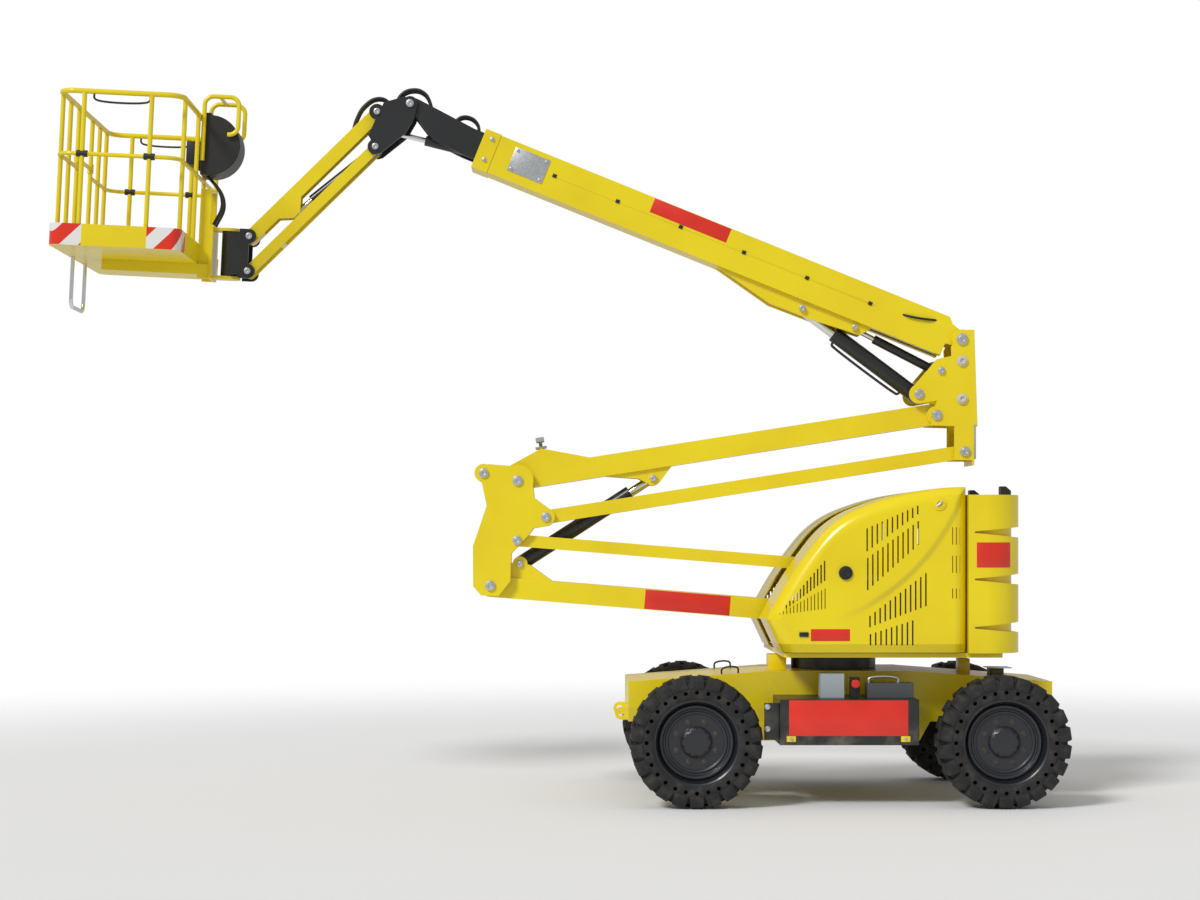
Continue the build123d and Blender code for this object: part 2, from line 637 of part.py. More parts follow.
def tyre(x, side):
    """Solid tyre on the rim's outer face, with two staggered rows of lugs that run down the shoulders."""
    outer = TYRE_DIAMETER / 2
    half = TYRE_WIDTH / 2
    flat = TREAD_FLAT / 2
    seat = RIM_DIAMETER / 2 - RIM_WALL + PIN_CLEARANCE
    pitch = 360 / TREAD_LUG_COUNT
    base = outer - TREAD_LUG_HEIGHT
    tip_angle = degrees(asin(TREAD_LUG_LENGTH / 2 / outer))
    foot_angle = degrees(asin((TREAD_LUG_LENGTH / 2 + TREAD_LUG_DRAFT) / base))
    corners = []
    for i in range(TREAD_LUG_COUNT):
        lug = ((base, -foot_angle), (outer, -tip_angle), (outer, tip_angle), (base, foot_angle))
        for radius, lean in lug:
            corners.append(along((0, 0), radius, i * pitch - 90 + lean))
    outline = make_face(Plane.XZ * Polyline(*corners, close=True))
    row = extrude(outline, amount=flat, dir=(0, 1, 0))
    row += loft([Pos(0, flat, 0) * outline, Pos(0, half, 0) * scale(outline, SHOULDER_TAPER)], ruled=True)
    ring = row + Rot(0, pitch / 2, 0) * mirror(row, about=Plane.XZ)
    bore_face = Plane.XZ * RegularPolygon(seat, TYRE_BORE_SIDES, major_radius=False)
    ring -= Pos(0, -half, 0) * extrude(bore_face, amount=TYRE_WIDTH, dir=(0, 1, 0))
    return Pos(x, side * TRACK / 2, WHEEL_Z) * (ring if side > 0 else mirror(ring, about=Plane.XZ))


def rim(x, side):
    """Dished steel wheel: barrel, outer flange and a disc with the hub cover."""
    outer = RIM_DIAMETER / 2 - RIM_WALL
    inner = outer - RIM_WALL
    hub = HUB_COVER_DIAMETER / 2
    cover = DISC_OUTER_Y + HUB_COVER_PROUD
    lip = RIM_LIP + RIM_LIP_SLOPE
    section = Polyline(
        (0, cover), (hub - HUB_COVER_TAPER, cover), (hub, DISC_OUTER_Y + HUB_COVER_STEP), (hub, DISC_OUTER_Y),
        (inner - RIM_CONE, DISC_OUTER_Y), (inner, RIM_OUTER_Y - lip), (outer, RIM_OUTER_Y - RIM_LIP),
        (outer, RIM_INNER_Y + RIM_LIP), (inner, RIM_INNER_Y + lip), (inner, DISC_INNER_Y), (0, DISC_INNER_Y),
        close=True,
    )
    wheel = revolve(make_face(section), axis=Axis.Y)
    spindle_hole = SPINDLE_DIAMETER / 2 + PIN_CLEARANCE
    wheel -= disc((0, 0), spindle_hole, DISC_INNER_Y - SIDE_GAP, DISC_OUTER_Y + SIDE_GAP)
    wheel = wheel if side > 0 else mirror(wheel, about=Plane.XZ)
    return Pos(x, 0, WHEEL_Z) * wheel


def slew_ring():
    """Slewing bearing between the chassis and the turret."""
    radius = SLEW_DIAMETER / 2
    ring = Cylinder(radius, SLEW_HEIGHT) - Cylinder(radius - SLEW_RING_WALL, SLEW_HEIGHT)
    return Pos(0, 0, CHASSIS_TOP + SLEW_HEIGHT / 2) * ring


def side_box(side):
    """Sheet metal box bolted to the chassis side between the wheels, open towards the chassis."""
    half = (WHEELBASE - TYRE_DIAMETER) / 2 - SIDE_BOX_WHEEL_GAP
    inner = CHASSIS_WIDTH / 2
    top = SIDE_BOX_BOTTOM + SIDE_BOX_HEIGHT
    box = block((-half, half), (inner, SIDE_BOX_OUTER), (SIDE_BOX_BOTTOM, top))
    box -= block(
        (-half + SIDE_BOX_WALL, half - SIDE_BOX_WALL),
        (inner - 1, SIDE_BOX_OUTER - SIDE_BOX_WALL),
        (SIDE_BOX_BOTTOM + SIDE_BOX_WALL, top - SIDE_BOX_WALL),
    )
    return box if side > 0 else mirror(box, about=Plane.XZ)


def chassis_fittings():
    """Control box with stop button, and a long box with its grab handle, on the right side box."""
    top = SIDE_BOX_BOTTOM + SIDE_BOX_HEIGHT
    control = block(CONTROL_BOX_X, (-CONTROL_BOX_OUTER, -FITTINGS_INNER), (top, top + CONTROL_BOX_HEIGHT))
    near, far = STOP_BOX_Y
    button = block(STOP_BOX_X, (-far, -near), (top, top + STOP_BOX_HEIGHT))
    button_place = (sum(STOP_BOX_X) / 2, top + STOP_BUTTON_RISE)
    button += disc(button_place, STOP_BUTTON_RADIUS, -far - STOP_BUTTON_PROUD, -(near + far) / 2)
    long_box = block(LONG_BOX_X, (-LONG_BOX_OUTER, -FITTINGS_INNER), (top, top + LONG_BOX_HEIGHT))
    return Compound(children=[control, button, long_box])


def turret_frame():
    """Floor plate with a pair of pivot plates for the riser, tied by a rear plate."""
    x0, z0 = LOWER_PIVOT
    x1, z1 = LOWER_LINK_PIVOT
    floor = block(
        (-TURRET_FLOOR_FRONT, TURRET_FLOOR_REAR),
        (-TURRET_HALF_WIDTH + TURRET_FLOOR_INSET, TURRET_HALF_WIDTH - TURRET_FLOOR_INSET),
        (TURRET_FLOOR_BOTTOM, TURRET_FLOOR_TOP),
    )
    outline = [
        (x0 - 260, TURRET_FLOOR_TOP - 1), (x0 - 120, z0 + 60), (x1 - 90, z1 + 70), (x1 + 72, z1 + 70),
        (x1 + 72, TURRET_FLOOR_TOP - 1),
    ]
    plates = both_sides(slab(outline, PLATE_INNER, PLATE_OUTER))
    rear = block((x1 + 56, x1 + 72), (-PLATE_OUTER, PLATE_OUTER), (TURRET_FLOOR_TOP - 1, z1 + 70))
    pins = disc(LOWER_PIVOT, ARM_PIN_DIAMETER / 2, -PIN_HALF, PIN_HALF)
    pins += disc(LOWER_LINK_PIVOT, LINK_PIN_DIAMETER / 2, -PIN_HALF, PIN_HALF)
    return floor + plates + rear + pins


def hood_profile():
    """Side outline of a hood: flat bottom and rear, and a roof that sweeps down to a low nose."""
    bottom = TURRET_FLOOR_TOP + SIDE_GAP
    brow_top = (HOOD_BROW_X, HOOD_TOP - HOOD_BROW_DROP)
    cheek_top = (HOOD_CHEEK_X, HOOD_TOP - HOOD_CHEEK_DROP)
    nose = (HOOD_NOSE, HOOD_TOP - HOOD_NOSE_DROP)
    crown = ThreePointArc((HOOD_REAR, HOOD_TOP), (HOOD_CROWN_X, HOOD_TOP - HOOD_CROWN_DROP), brow_top)
    brow = TangentArc(brow_top, cheek_top, tangent=crown % 1)
    front = TangentArc(cheek_top, nose, tangent=brow % 1)
    return make_face([
        crown,
        brow,
        front,
        Line(nose, (HOOD_FOOT, bottom)),
        Line((HOOD_FOOT, bottom), (HOOD_REAR, bottom)),
        Line((HOOD_REAR, bottom), (HOOD_REAR, HOOD_TOP)),
    ])


def hood(side):
    """Moulded hood over one side of the turret, open below and towards the riser."""
    face = hood_profile()
    width = TURRET_HALF_WIDTH - HOOD_SLOT
    shell = Pos(0, HOOD_SLOT, 0) * extrude(Plane.XZ * face, amount=width, dir=(0, 1, 0))
    outer_edges = shell.edges().filter_by(lambda edge: edge.center().Y > TURRET_HALF_WIDTH - 1)
    roof_edges = outer_edges.filter_by(lambda edge: edge.center().Z > TURRET_FLOOR_TOP + 2 * SIDE_GAP)
    shell = fillet(roof_edges, HOOD_EDGE_RADIUS)
    inner = offset(face, amount=-HOOD_WALL)
    cavity = Pos(0, HOOD_SLOT - 1, 0) * extrude(Plane.XZ * inner, amount=width + 1 - HOOD_WALL, dir=(0, 1, 0))
    inner_edges = cavity.edges().filter_by(lambda edge: edge.center().Y > TURRET_HALF_WIDTH - HOOD_WALL - 1)
    inner_roof = inner_edges.filter_by(lambda edge: edge.center().Z > TURRET_FLOOR_TOP + 4 * HOOD_WALL)
    cavity = fillet(inner_roof, HOOD_EDGE_RADIUS - HOOD_WALL)
    shell -= cavity
    bottom = TURRET_FLOOR_TOP + SIDE_GAP
    shell -= block(
        (HOOD_FOOT + HOOD_LIP, HOOD_REAR - HOOD_LIP),
        (HOOD_SLOT - 1, TURRET_HALF_WIDTH - HOOD_LIP),
        (bottom - 1, bottom + 2 * HOOD_WALL),
    )
    pin_hole = Cylinder(HOOD_PIN_DIAMETER / 2 + PIN_CLEARANCE, HOOD_PIN_LENGTH + 2 * SIDE_GAP)
    shell -= Pos(HOOD_REAR, HOOD_PIN_Y, HOOD_PIN_Z) * Rot(0, 90, 0) * pin_hole
    slots = [slot for bank in LOUVRE_BANKS for slot in louvres(*bank)]
    shell -= slots
    return shell if side > 0 else mirror(shell, about=Plane.XZ)


def louvres(count, width, x, low, high):
    """A bank of upright slots through a hood's side, with the ends of its columns on two straight lines."""
    slots = []
    for i in range(count):
        share = i / (count - 1)
        middle = HOOD_REAR - (x[0] + share * (x[1] - x[0]))
        bottom = HOOD_TOP - (low[0] + share * (low[1] - low[0]))
        top = HOOD_TOP - (high[0] + share * (high[1] - high[0]))
        slots.append(
            block(
                (middle - width / 2, middle + width / 2),
                (TURRET_HALF_WIDTH - 2 * HOOD_WALL, TURRET_HALF_WIDTH + 1),
                (bottom, top),
            )
        )
    return slots


def counterweight():
    """Cast counterweight with rounded corners, tapered grooves round it and a hollow towards the hoods."""
    front = HOOD_REAR + SIDE_GAP + 1
    depth = COUNTERWEIGHT_REAR - front

    def rounded(inset):
        """The outer form, set in by a depth on its sides and rear."""
        half = TURRET_HALF_WIDTH - inset
        height = (TURRET_FLOOR_TOP, COUNTERWEIGHT_TOP)
        form = block((front, COUNTERWEIGHT_REAR - inset), (-half, half), height)
        corners = form.edges().filter_by(Axis.Z).filter_by(lambda edge: edge.center().X > front + 1)
        return fillet(corners, COUNTERWEIGHT_CORNER - inset)

    body = rounded(0)
    core = rounded(GROOVE_DEPTH)
    start, end = front + GROOVE_START, COUNTERWEIGHT_REAR + 1
    for drop in GROOVE_DROPS:
        z = COUNTERWEIGHT_TOP - drop
        tip, mouth = GROOVE_TIP_HEIGHT / 2, GROOVE_HEIGHT / 2
        outline = [(start, z - tip), (end, z - mouth), (end, z + mouth), (start, z + tip)]
        wedge = slab(outline, -TURRET_HALF_WIDTH - 1, TURRET_HALF_WIDTH + 1)
        body -= wedge - core
    hollow_half = TURRET_HALF_WIDTH - COUNTERWEIGHT_WALL
    body -= block(
        (front - 1, front + depth - COUNTERWEIGHT_WALL),
        (-hollow_half, hollow_half),
        (TURRET_FLOOR_TOP + COUNTERWEIGHT_WALL, COUNTERWEIGHT_TOP - COUNTERWEIGHT_WALL / 2),
    )
    pin = Rot(0, 90, 0) * Cylinder(HOOD_PIN_DIAMETER / 2, HOOD_PIN_LENGTH)
    return body + both_sides(Pos(front, HOOD_PIN_Y, HOOD_PIN_Z) * pin)


def power_pack():
    """Engine block on the left and oil tank on the right of the turret floor."""
    floor = TURRET_FLOOR_TOP
    engine = block(ENGINE_X, ENGINE_Y, (floor, floor + ENGINE_HEIGHT))
    tank = mirror(block(TANK_X, TANK_Y, (floor, floor + TANK_HEIGHT)), about=Plane.XZ)
    return Compound(children=[engine, tank])


def tail_lamp():
    """Pair of lamps with slanted lenses on top of the counterweight."""
    low, high = COUNTERWEIGHT_TOP, COUNTERWEIGHT_TOP + LAMP_HEIGHT
    rear = COUNTERWEIGHT_REAR - LAMP_INSET
    front = rear - LAMP_LENGTH
    slant = [(rear, low + LAMP_HEIGHT / 2), (rear - LAMP_LENGTH / 2, high)]
    outline = [(front, low), (rear, low)] + slant + [(front, high)]
    return both_sides(slab(outline, LAMP_Y - LAMP_WIDTH / 2, LAMP_Y + LAMP_WIDTH / 2))


def lower_arm():
    """Box-section arm with round ends and a pair of ears for the riser cylinder."""
    low, high = -LOWER_ARM_BELOW, LOWER_ARM_ABOVE
    arm = slab([(0, low), (ARM_LENGTH, low), (ARM_LENGTH, high), (0, high)], -ARM_HALF_WIDTH, ARM_HALF_WIDTH)
    arm += disc((0, 0), -low, -ARM_HALF_WIDTH, ARM_HALF_WIDTH)
    hollow = ARM_HALF_WIDTH - ARM_WALL
    open_end = ARM_LENGTH + 2 * ARM_HALF_WIDTH
    arm -= block((LOWER_ARM_SOLID_END, open_end), (-hollow, hollow), (low + ARM_WALL, high - ARM_WALL))
    ear_x, ear_z = ARM_EAR
    outline = [(ear_x - 146, high - 5), (ear_x - 66, ear_z), (ear_x + 64, ear_z), (ear_x + 234, high - 5)]
    ears = slab(outline, EAR_INNER, EAR_INNER + EAR_THICKNESS)
    ears += disc(ARM_EAR, EAR_RADIUS, EAR_INNER, EAR_INNER + EAR_THICKNESS)
    arm += both_sides(ears)
    arm += disc(ARM_EAR, LINK_PIN_DIAMETER / 2, -EAR_INNER - 1, EAR_INNER + 1)
    for x in (0, ARM_LENGTH):
        arm += disc((x, 0), ARM_BOSS_RADIUS, -BOSS_HALF, BOSS_HALF)
        arm -= bore((x, 0), ARM_PIN_DIAMETER, PIN_HALF)
    return LOWER_ARM_PLACE * arm


def link(start, end, depth, ties):
    """Pair of flat bars side by side, tied by cross tubes, with an eye at each end."""
    length = hypot(end[0] - start[0], end[1] - start[1])
    bar = block((0, length), (LINK_INNER, LINK_OUTER), (-depth / 2, depth / 2))
    for x in (0, length):
        bar += disc((x, 0), depth / 2, LINK_INNER, BOSS_HALF)
        bar -= bore((x, 0), LINK_PIN_DIAMETER, PIN_HALF)
    bars = both_sides(bar)
    for x in ties:
        bars += disc((x, 0), depth / 3, -LINK_INNER - 1, LINK_INNER + 1)
    return Pos(start[0], 0, start[1]) * Rot(0, -bearing(start, end), 0) * bars


def knuckle():
    """Pair of tall plates joining the two riser arms, tied by a back plate, a cross tube and the pins."""
    x, z = KNUCKLE_PIN
    x1, z1 = KNUCKLE_UPPER_PIN
    x2, z2 = KNUCKLE_UPPER_LINK_PIN
    outline = [
        (x - 113, z - 5), (x - 60, z - 66), (x + 58, z - 69), (x + 135, z + 30), (x + 140, z + 213),
        (x + 262, z + 343), (x + 290, z + 383), (x2 + 14, z2 - 57), (x2 + 27, z2 + 52), (x1 + 112, z1 - 114),
        (x1 + 92, z1 + 50), (x1 - 40, z1 + 97), (x1 - 200, z1 + 110), (x1 - 241, z1 - 4),
        (x - 23, z + 533), (x - 115, z + 261),
    ]
    lobe = shifted(KNUCKLE_UPPER_PIN, KNUCKLE_LOBE_DX, KNUCKLE_LOBE_DZ)
    plate = slab(outline, PLATE_INNER, PLATE_OUTER)
    for centre, radius in (
        (lobe, KNUCKLE_LOBE_RADIUS), (KNUCKLE_UPPER_PIN, KNUCKLE_TOP_RADIUS),
        (KNUCKLE_UPPER_LINK_PIN, KNUCKLE_LINK_RADIUS),
    ):
        plate += disc(centre, radius, PLATE_INNER, PLATE_OUTER)
    body = both_sides(plate)
    back = x - 113
    body += block((back, back + KNUCKLE_BACK_PLATE), (-PLATE_OUTER, PLATE_OUTER), (z + 110, z + 255))
    body += disc(lobe, KNUCKLE_TUBE_RADIUS, -PLATE_OUTER, PLATE_OUTER)
    for pin, diameter in (
        (KNUCKLE_PIN, ARM_PIN_DIAMETER), (KNUCKLE_UPPER_PIN, ARM_PIN_DIAMETER),
        (KNUCKLE_LINK_PIN, LINK_PIN_DIAMETER),
    ):
        body += disc(pin, diameter / 2, -PIN_HALF, PIN_HALF)
    # The upper link turns on two stub pins, so that the riser cylinder passes between them.
    body += both_sides(disc(KNUCKLE_UPPER_LINK_PIN, LINK_PIN_DIAMETER / 2, LINK_INNER, PIN_HALF))
    return body


def upper_arm():
    """Box-section arm with a hump over the knuckle and a bracket for the riser cylinder's rod."""
    low, high = -UPPER_ARM_BELOW, UPPER_ARM_ABOVE
    arm = slab([(0, low), (ARM_LENGTH, low), (ARM_LENGTH, high), (0, high)], -ARM_HALF_WIDTH, ARM_HALF_WIDTH)
    hump = [(-48, 60), (-40, 106), (HUMP_X, HUMP_Z), (HUMP_X + 317, 78), (HUMP_X + 312, 60)]
    arm += slab(hump, -ARM_HALF_WIDTH, ARM_HALF_WIDTH)
    arm += disc((0, 0), UPPER_ARM_NOSE_RADIUS, -ARM_HALF_WIDTH, ARM_HALF_WIDTH)
    hollow = ARM_HALF_WIDTH - ARM_WALL
    open_end = ARM_LENGTH + 2 * ARM_HALF_WIDTH
    arm -= block((UPPER_ARM_SOLID_END, open_end), (-hollow, hollow), (low + ARM_WALL, high - ARM_WALL))
    slot_half = EAR_INNER - SIDE_GAP
    arm -= block((ARM_SLOT_START, ARM_SLOT_END), (-slot_half, slot_half), (low - 1, low + 2 * ARM_WALL))
    eye_x, eye_z = ARM_BRACKET
    outline = [
        (eye_x - 338, low + 5), (eye_x - 98, eye_z + 12), (eye_x - 38, eye_z - 33), (eye_x + 42, eye_z - 33),
        (eye_x + 142, low + 5),
    ]
    bracket = slab(outline, EAR_INNER, EAR_INNER + EAR_THICKNESS)
    bracket += disc(ARM_BRACKET, EAR_RADIUS, EAR_INNER, EAR_INNER + EAR_THICKNESS)
    bracket += disc(ARM_BRACKET, EAR_PIN_HEAD_RADIUS, EAR_INNER, EAR_INNER + EAR_THICKNESS + EAR_PIN_HEAD)
    arm += both_sides(bracket)
    for x in (0, ARM_LENGTH):
        arm += disc((x, 0), ARM_BOSS_RADIUS, -BOSS_HALF, BOSS_HALF)
        arm -= bore((x, 0), ARM_PIN_DIAMETER, PIN_HALF)
    return UPPER_ARM_PLACE * arm


def boom_rest():
    """Post with a rubber cushion on the hump, where the lowered boom lies."""

    def step(length, width, low, high):
        """A block over the hump's peak, between two heights."""
        return block((HUMP_X - length / 2, HUMP_X + length / 2), (-width / 2, width / 2), (low, high))

    foot_top = HUMP_Z + REST_FOOT_HEIGHT
    pad_low = HUMP_Z + REST_POST_HEIGHT
    foot = step(REST_FOOT_LENGTH, REST_FOOT_WIDTH, HUMP_Z + REST_GAP, foot_top)
    post = step(REST_POST_LENGTH, REST_POST_WIDTH, foot_top - SIDE_GAP, pad_low)
    pad = step(REST_PAD_LENGTH, REST_PAD_WIDTH, pad_low, pad_low + REST_PAD_HEIGHT)
    return UPPER_ARM_PLACE * (foot + post + pad)


def mast():
    """Pair of upright plates carrying the boom, its lift cylinder and the levelling cylinder."""
    x, z = MAST_PIN
    x1, z1 = BOOM_PIVOT
    outline = [
        (x1 - 8, z1 + 62), (x1 + 82, z1 + 65), (x + 272, z - 78), (x - 42, z - 70), (x, z + 96),
        (x - 118, z + 75), (x - 172, z + 170), (x + 1, z + 373), (x + 98, z + 393), (x + 96, z + 454),
    ]
    plate = slab(outline, PLATE_INNER, PLATE_OUTER)
    plate += disc(LIFT_BASE, MAST_LIFT_RADIUS, PLATE_INNER, PLATE_OUTER)
    plate += disc(BOOM_PIVOT, MAST_BOOM_RADIUS, PLATE_INNER, PLATE_OUTER)
    leg_x = MAST_LINK_PIN[0]
    plate += block((leg_x - 70, leg_x + 52), (PLATE_INNER, PLATE_OUTER), (MAST_LINK_PIN[1] - 58, z - 60))
    body = both_sides(plate)
    body += block((x1 + 68, x1 + 82), (-PLATE_OUTER, PLATE_OUTER), (MAST_LINK_PIN[1] - 92, z + 455))
    for pin, diameter in (
        (MAST_PIN, ARM_PIN_DIAMETER), (MAST_LINK_PIN, LINK_PIN_DIAMETER), (BOOM_PIVOT, ARM_PIN_DIAMETER),
        (LIFT_BASE, LINK_PIN_DIAMETER), (LEVEL_BASE, JIB_PIN_DIAMETER),
    ):
        body += disc(pin, diameter / 2, -PIN_HALF, PIN_HALF)
    return body


def boom_outer():
    """Square boom tube with a collar at its mouth, pivot lugs behind and a tapered bracket under it."""
    half = BOOM_HALF_WIDTH
    proud = COLLAR_PROUD
    body = block((-BOOM_TIP, -BOOM_REAR), (-half, half), (-BOOM_BELOW, BOOM_ABOVE))
    body += block(
        (-BOOM_TIP, -BOOM_TIP + COLLAR_LENGTH), (-half - proud, half + proud),
        (-BOOM_BELOW - proud, BOOM_ABOVE + proud),
    )
    across = body.edges().filter_by(Axis.Y).sort_by(Axis.X)
    rear_top = across.filter_by(lambda edge: edge.center().Z > BOOM_ABOVE - 1)
    body = chamfer(rear_top[-1], BOOM_REAR_CHAMFER)
    body -= block(
        (-BOOM_TIP - 1, -BOOM_REAR - BOOM_REAR_WALL), (-half + BOOM_WALL, half - BOOM_WALL),
        (-BOOM_BELOW + BOOM_WALL, BOOM_ABOVE - BOOM_WALL),
    )
    slot_half = EAR_INNER - SIDE_GAP
    body -= block(
        (-EYE_SLOT_END, -BOOM_REAR + 1), (-slot_half, slot_half),
        (-BOOM_BELOW - 1, -BOOM_BELOW + 2 * BOOM_WALL),
    )
    mouth = block((-BOOM_TIP, -BOOM_TIP + PAD_LENGTH), (-half, half), (-BOOM_BELOW, BOOM_ABOVE))
    wide, tall = INNER_HALF_WIDTH + PIN_CLEARANCE, INNER_HALF_HEIGHT + PIN_CLEARANCE
    mouth -= block((-BOOM_TIP - 1, -BOOM_TIP + PAD_LENGTH + 1), (-wide, wide), (-tall, tall))
    body += mouth
    lug_inner = half - BOOM_LUG_THICKNESS
    lug = slab([(-BOOM_REAR - 60, -70), (0, -50), (0, 50), (-BOOM_REAR - 60, 95)], lug_inner, half)
    lug += disc((0, 0), BOOM_EYE_RADIUS, lug_inner, BOSS_HALF)
    lift_a, lift_b = LIFT_LUG
    level_a, level_b = LEVEL_LUG
    top = -BOOM_BELOW + 8
    outline = [
        (-lift_a - 682, top), (-lift_a - 213, lift_b - 51), (-lift_a + 87, lift_b - 46),
        (-level_a + 51, level_b - 35), (-level_a + 114, top),
    ]
    bracket = slab(outline, EAR_INNER, EAR_INNER + EAR_THICKNESS)
    for a, b in (LIFT_LUG, LEVEL_LUG):
        bracket += disc((-a, b), BOOM_PIN_HEAD_RADIUS, EAR_INNER, EAR_INNER + EAR_THICKNESS + BOOM_PIN_HEAD)
    body += both_sides(lug + bracket)
    body -= bore((0, 0), ARM_PIN_DIAMETER, PIN_HALF)
    return BOOM_PLACE * body


def boom_inner():
    """Sliding boom tube with a nose of two plates that carries the head."""
    high, half = INNER_HALF_HEIGHT, INNER_HALF_WIDTH
    tube_end = BOOM_TIP - INNER_SETBACK
    head = HEAD_PIVOT_A
    body = block((-tube_end, -INNER_REAR), (-half, half), (-high, high))
    side = BOOM_HALF_WIDTH - BOOM_WALL - PIN_CLEARANCE
    body += block(
        (-INNER_REAR - PAD_LENGTH, -INNER_REAR), (-side, side),
        (-BOOM_BELOW + BOOM_WALL + PIN_CLEARANCE, BOOM_ABOVE - BOOM_WALL - PIN_CLEARANCE),
    )
    inside = half - INNER_WALL
    ceiling = high - INNER_WALL
    body -= block((-tube_end - 1, -INNER_REAR + 1), (-inside, inside), (-ceiling, ceiling))
    outline = [
        (-tube_end + NOSE_OVERLAP, high), (-tube_end - 136, high), (-head + 48, NOSE_TOP), (-head, NOSE_TOP),
        (-head, HEAD_PIVOT_B - 47), (-head + 63, HEAD_PIVOT_B - 66), (-head + 233, -high + 15),
        (-tube_end - 150, -high), (-tube_end + NOSE_OVERLAP, -high),
    ]
    nose = slab(outline, NOSE_INNER, half)
    nose += disc((-head, HEAD_PIVOT_B), HEAD_EYE_RADIUS, NOSE_INNER, half)
    body += both_sides(nose)
    inner_side = NOSE_INNER + 1
    body += block(
        (-head + NOSE_TIE_SETBACK, -tube_end), (-inner_side, inner_side), (high - NOSE_TIE_THICKNESS, high),
    )
    body -= bore((-head, HEAD_PIVOT_B), HEAD_PIN_DIAMETER, PIN_HALF)
    body += disc((-SLAVE_LUG[0], SLAVE_LUG[1]), JIB_PIN_DIAMETER / 2, -inner_side, inner_side)
    return BOOM_PLACE * body


def jib_head():
    """Pair of plates between the boom nose and the jib, tied by a block and the pins."""
    outline = [(-40, 45), (-175, 0), (-270, -225), (-185, -345), (-20, -200), (35, -95), (50, 0)]
    outer = HEAD_INNER + HEAD_PLATE
    jib_pins = [(HEAD_JIB_DX, HEAD_JIB_DZ), (HEAD_JIB_DX, HEAD_JIB_DZ - JIB_SPACING)]
    plate = slab(outline, HEAD_INNER, outer)
    plate += disc((0, 0), HEAD_EYE_RADIUS, HEAD_INNER, outer)
    for pin in jib_pins:
        plate += disc(pin, HEAD_JIB_EYE_RADIUS, HEAD_INNER, outer)
    body = both_sides(plate)
    body += block((-145, -75), (-HEAD_INNER - 1, HEAD_INNER + 1), (-120, -10))
    body += disc((0, 0), HEAD_PIN_DIAMETER / 2, -outer, outer)
    for pin in jib_pins:
        body += disc(pin, JIB_PIN_DIAMETER / 2, -outer, outer)
    return HEAD_PLACE * body


def jib_upper_arm():
    """Upper jib arm: a channel open below, where the jib cylinder folds in, with the rod's bracket."""
    depth, half = JIB_HALF_DEPTH, JIB_HALF_WIDTH
    arm = block((-JIB_LENGTH, 0), (-half, half), (-depth, depth))
    for x in (0, -JIB_LENGTH):
        arm += disc((x, 0), depth, -half, half)
    eye_x, eye_z = JIB_LUG
    outline = [
        (eye_x + 110, -depth + 5), (eye_x + 30, eye_z - 22), (eye_x - 30, eye_z - 22),
        (eye_x - 110, -depth + 5),
    ]
    lug = slab(outline, LANE_HALF, half)
    arm += both_sides(lug)
    channel = (-JIB_LENGTH + 2 * depth, 2 * depth)
    arm -= block(channel, (-LANE_HALF, LANE_HALF), (-2 * depth, depth - JIB_WALL))
    for x in (0, -JIB_LENGTH):
        arm -= bore((x, 0), JIB_PIN_DIAMETER, PIN_HALF)
    return JIB_TOP_PLACE * arm


def jib_lower_arm():
    """Lower jib arm: two flat bars with the jib cylinder between them, tied near the basket."""
    depth = JIB_BAR_HALF_DEPTH
    bar = block((-JIB_LENGTH, 0), (JIB_BAR_INNER, JIB_BAR_OUTER), (-depth, depth))
    for x in (0, -JIB_LENGTH):
        bar += disc((x, 0), depth, JIB_BAR_INNER, HEAD_INNER - SIDE_GAP)
    arm = both_sides(bar)
    tie = (-JIB_TIE_AT - JIB_TIE_LENGTH, -JIB_TIE_AT)
    arm += block(tie, (-JIB_BAR_INNER - 1, JIB_BAR_INNER + 1), (-depth, 0))
    for x in (0, -JIB_LENGTH):
        arm -= bore((x, 0), JIB_PIN_DIAMETER, PIN_HALF)
    return JIB_LOW_PLACE * arm


def platform_bracket():
    """Fork on the jib's outer pins, welded to the housing of the rotary actuator."""
    half_height = ROTATOR_HEIGHT / 2
    middle = -JIB_SPACING / 2
    housing = Pos(ROTATOR_DX, 0, middle) * Cylinder(ROTATOR_DIAMETER / 2, ROTATOR_HEIGHT)
    outer = HEAD_INNER + HEAD_PLATE
    web_half = half_height - ROTATOR_WEB_STEP
    web = block((ROTATOR_DX, 1 - BRACKET_CHEEK), (-outer, outer), (middle - web_half, middle + web_half))
    eye = BRACKET_EYE_RADIUS
    cheek = block((-BRACKET_CHEEK, 0), (HEAD_INNER, outer), (-JIB_SPACING - eye, eye))
    for z in (0, -JIB_SPACING):
        cheek += disc((0, z), eye, HEAD_INNER, outer)
    body = housing + web + both_sides(cheek)
    for z in (0, -JIB_SPACING):
        body += disc((0, z), JIB_PIN_DIAMETER / 2, -outer, outer)
    return BASKET_PLACE * body


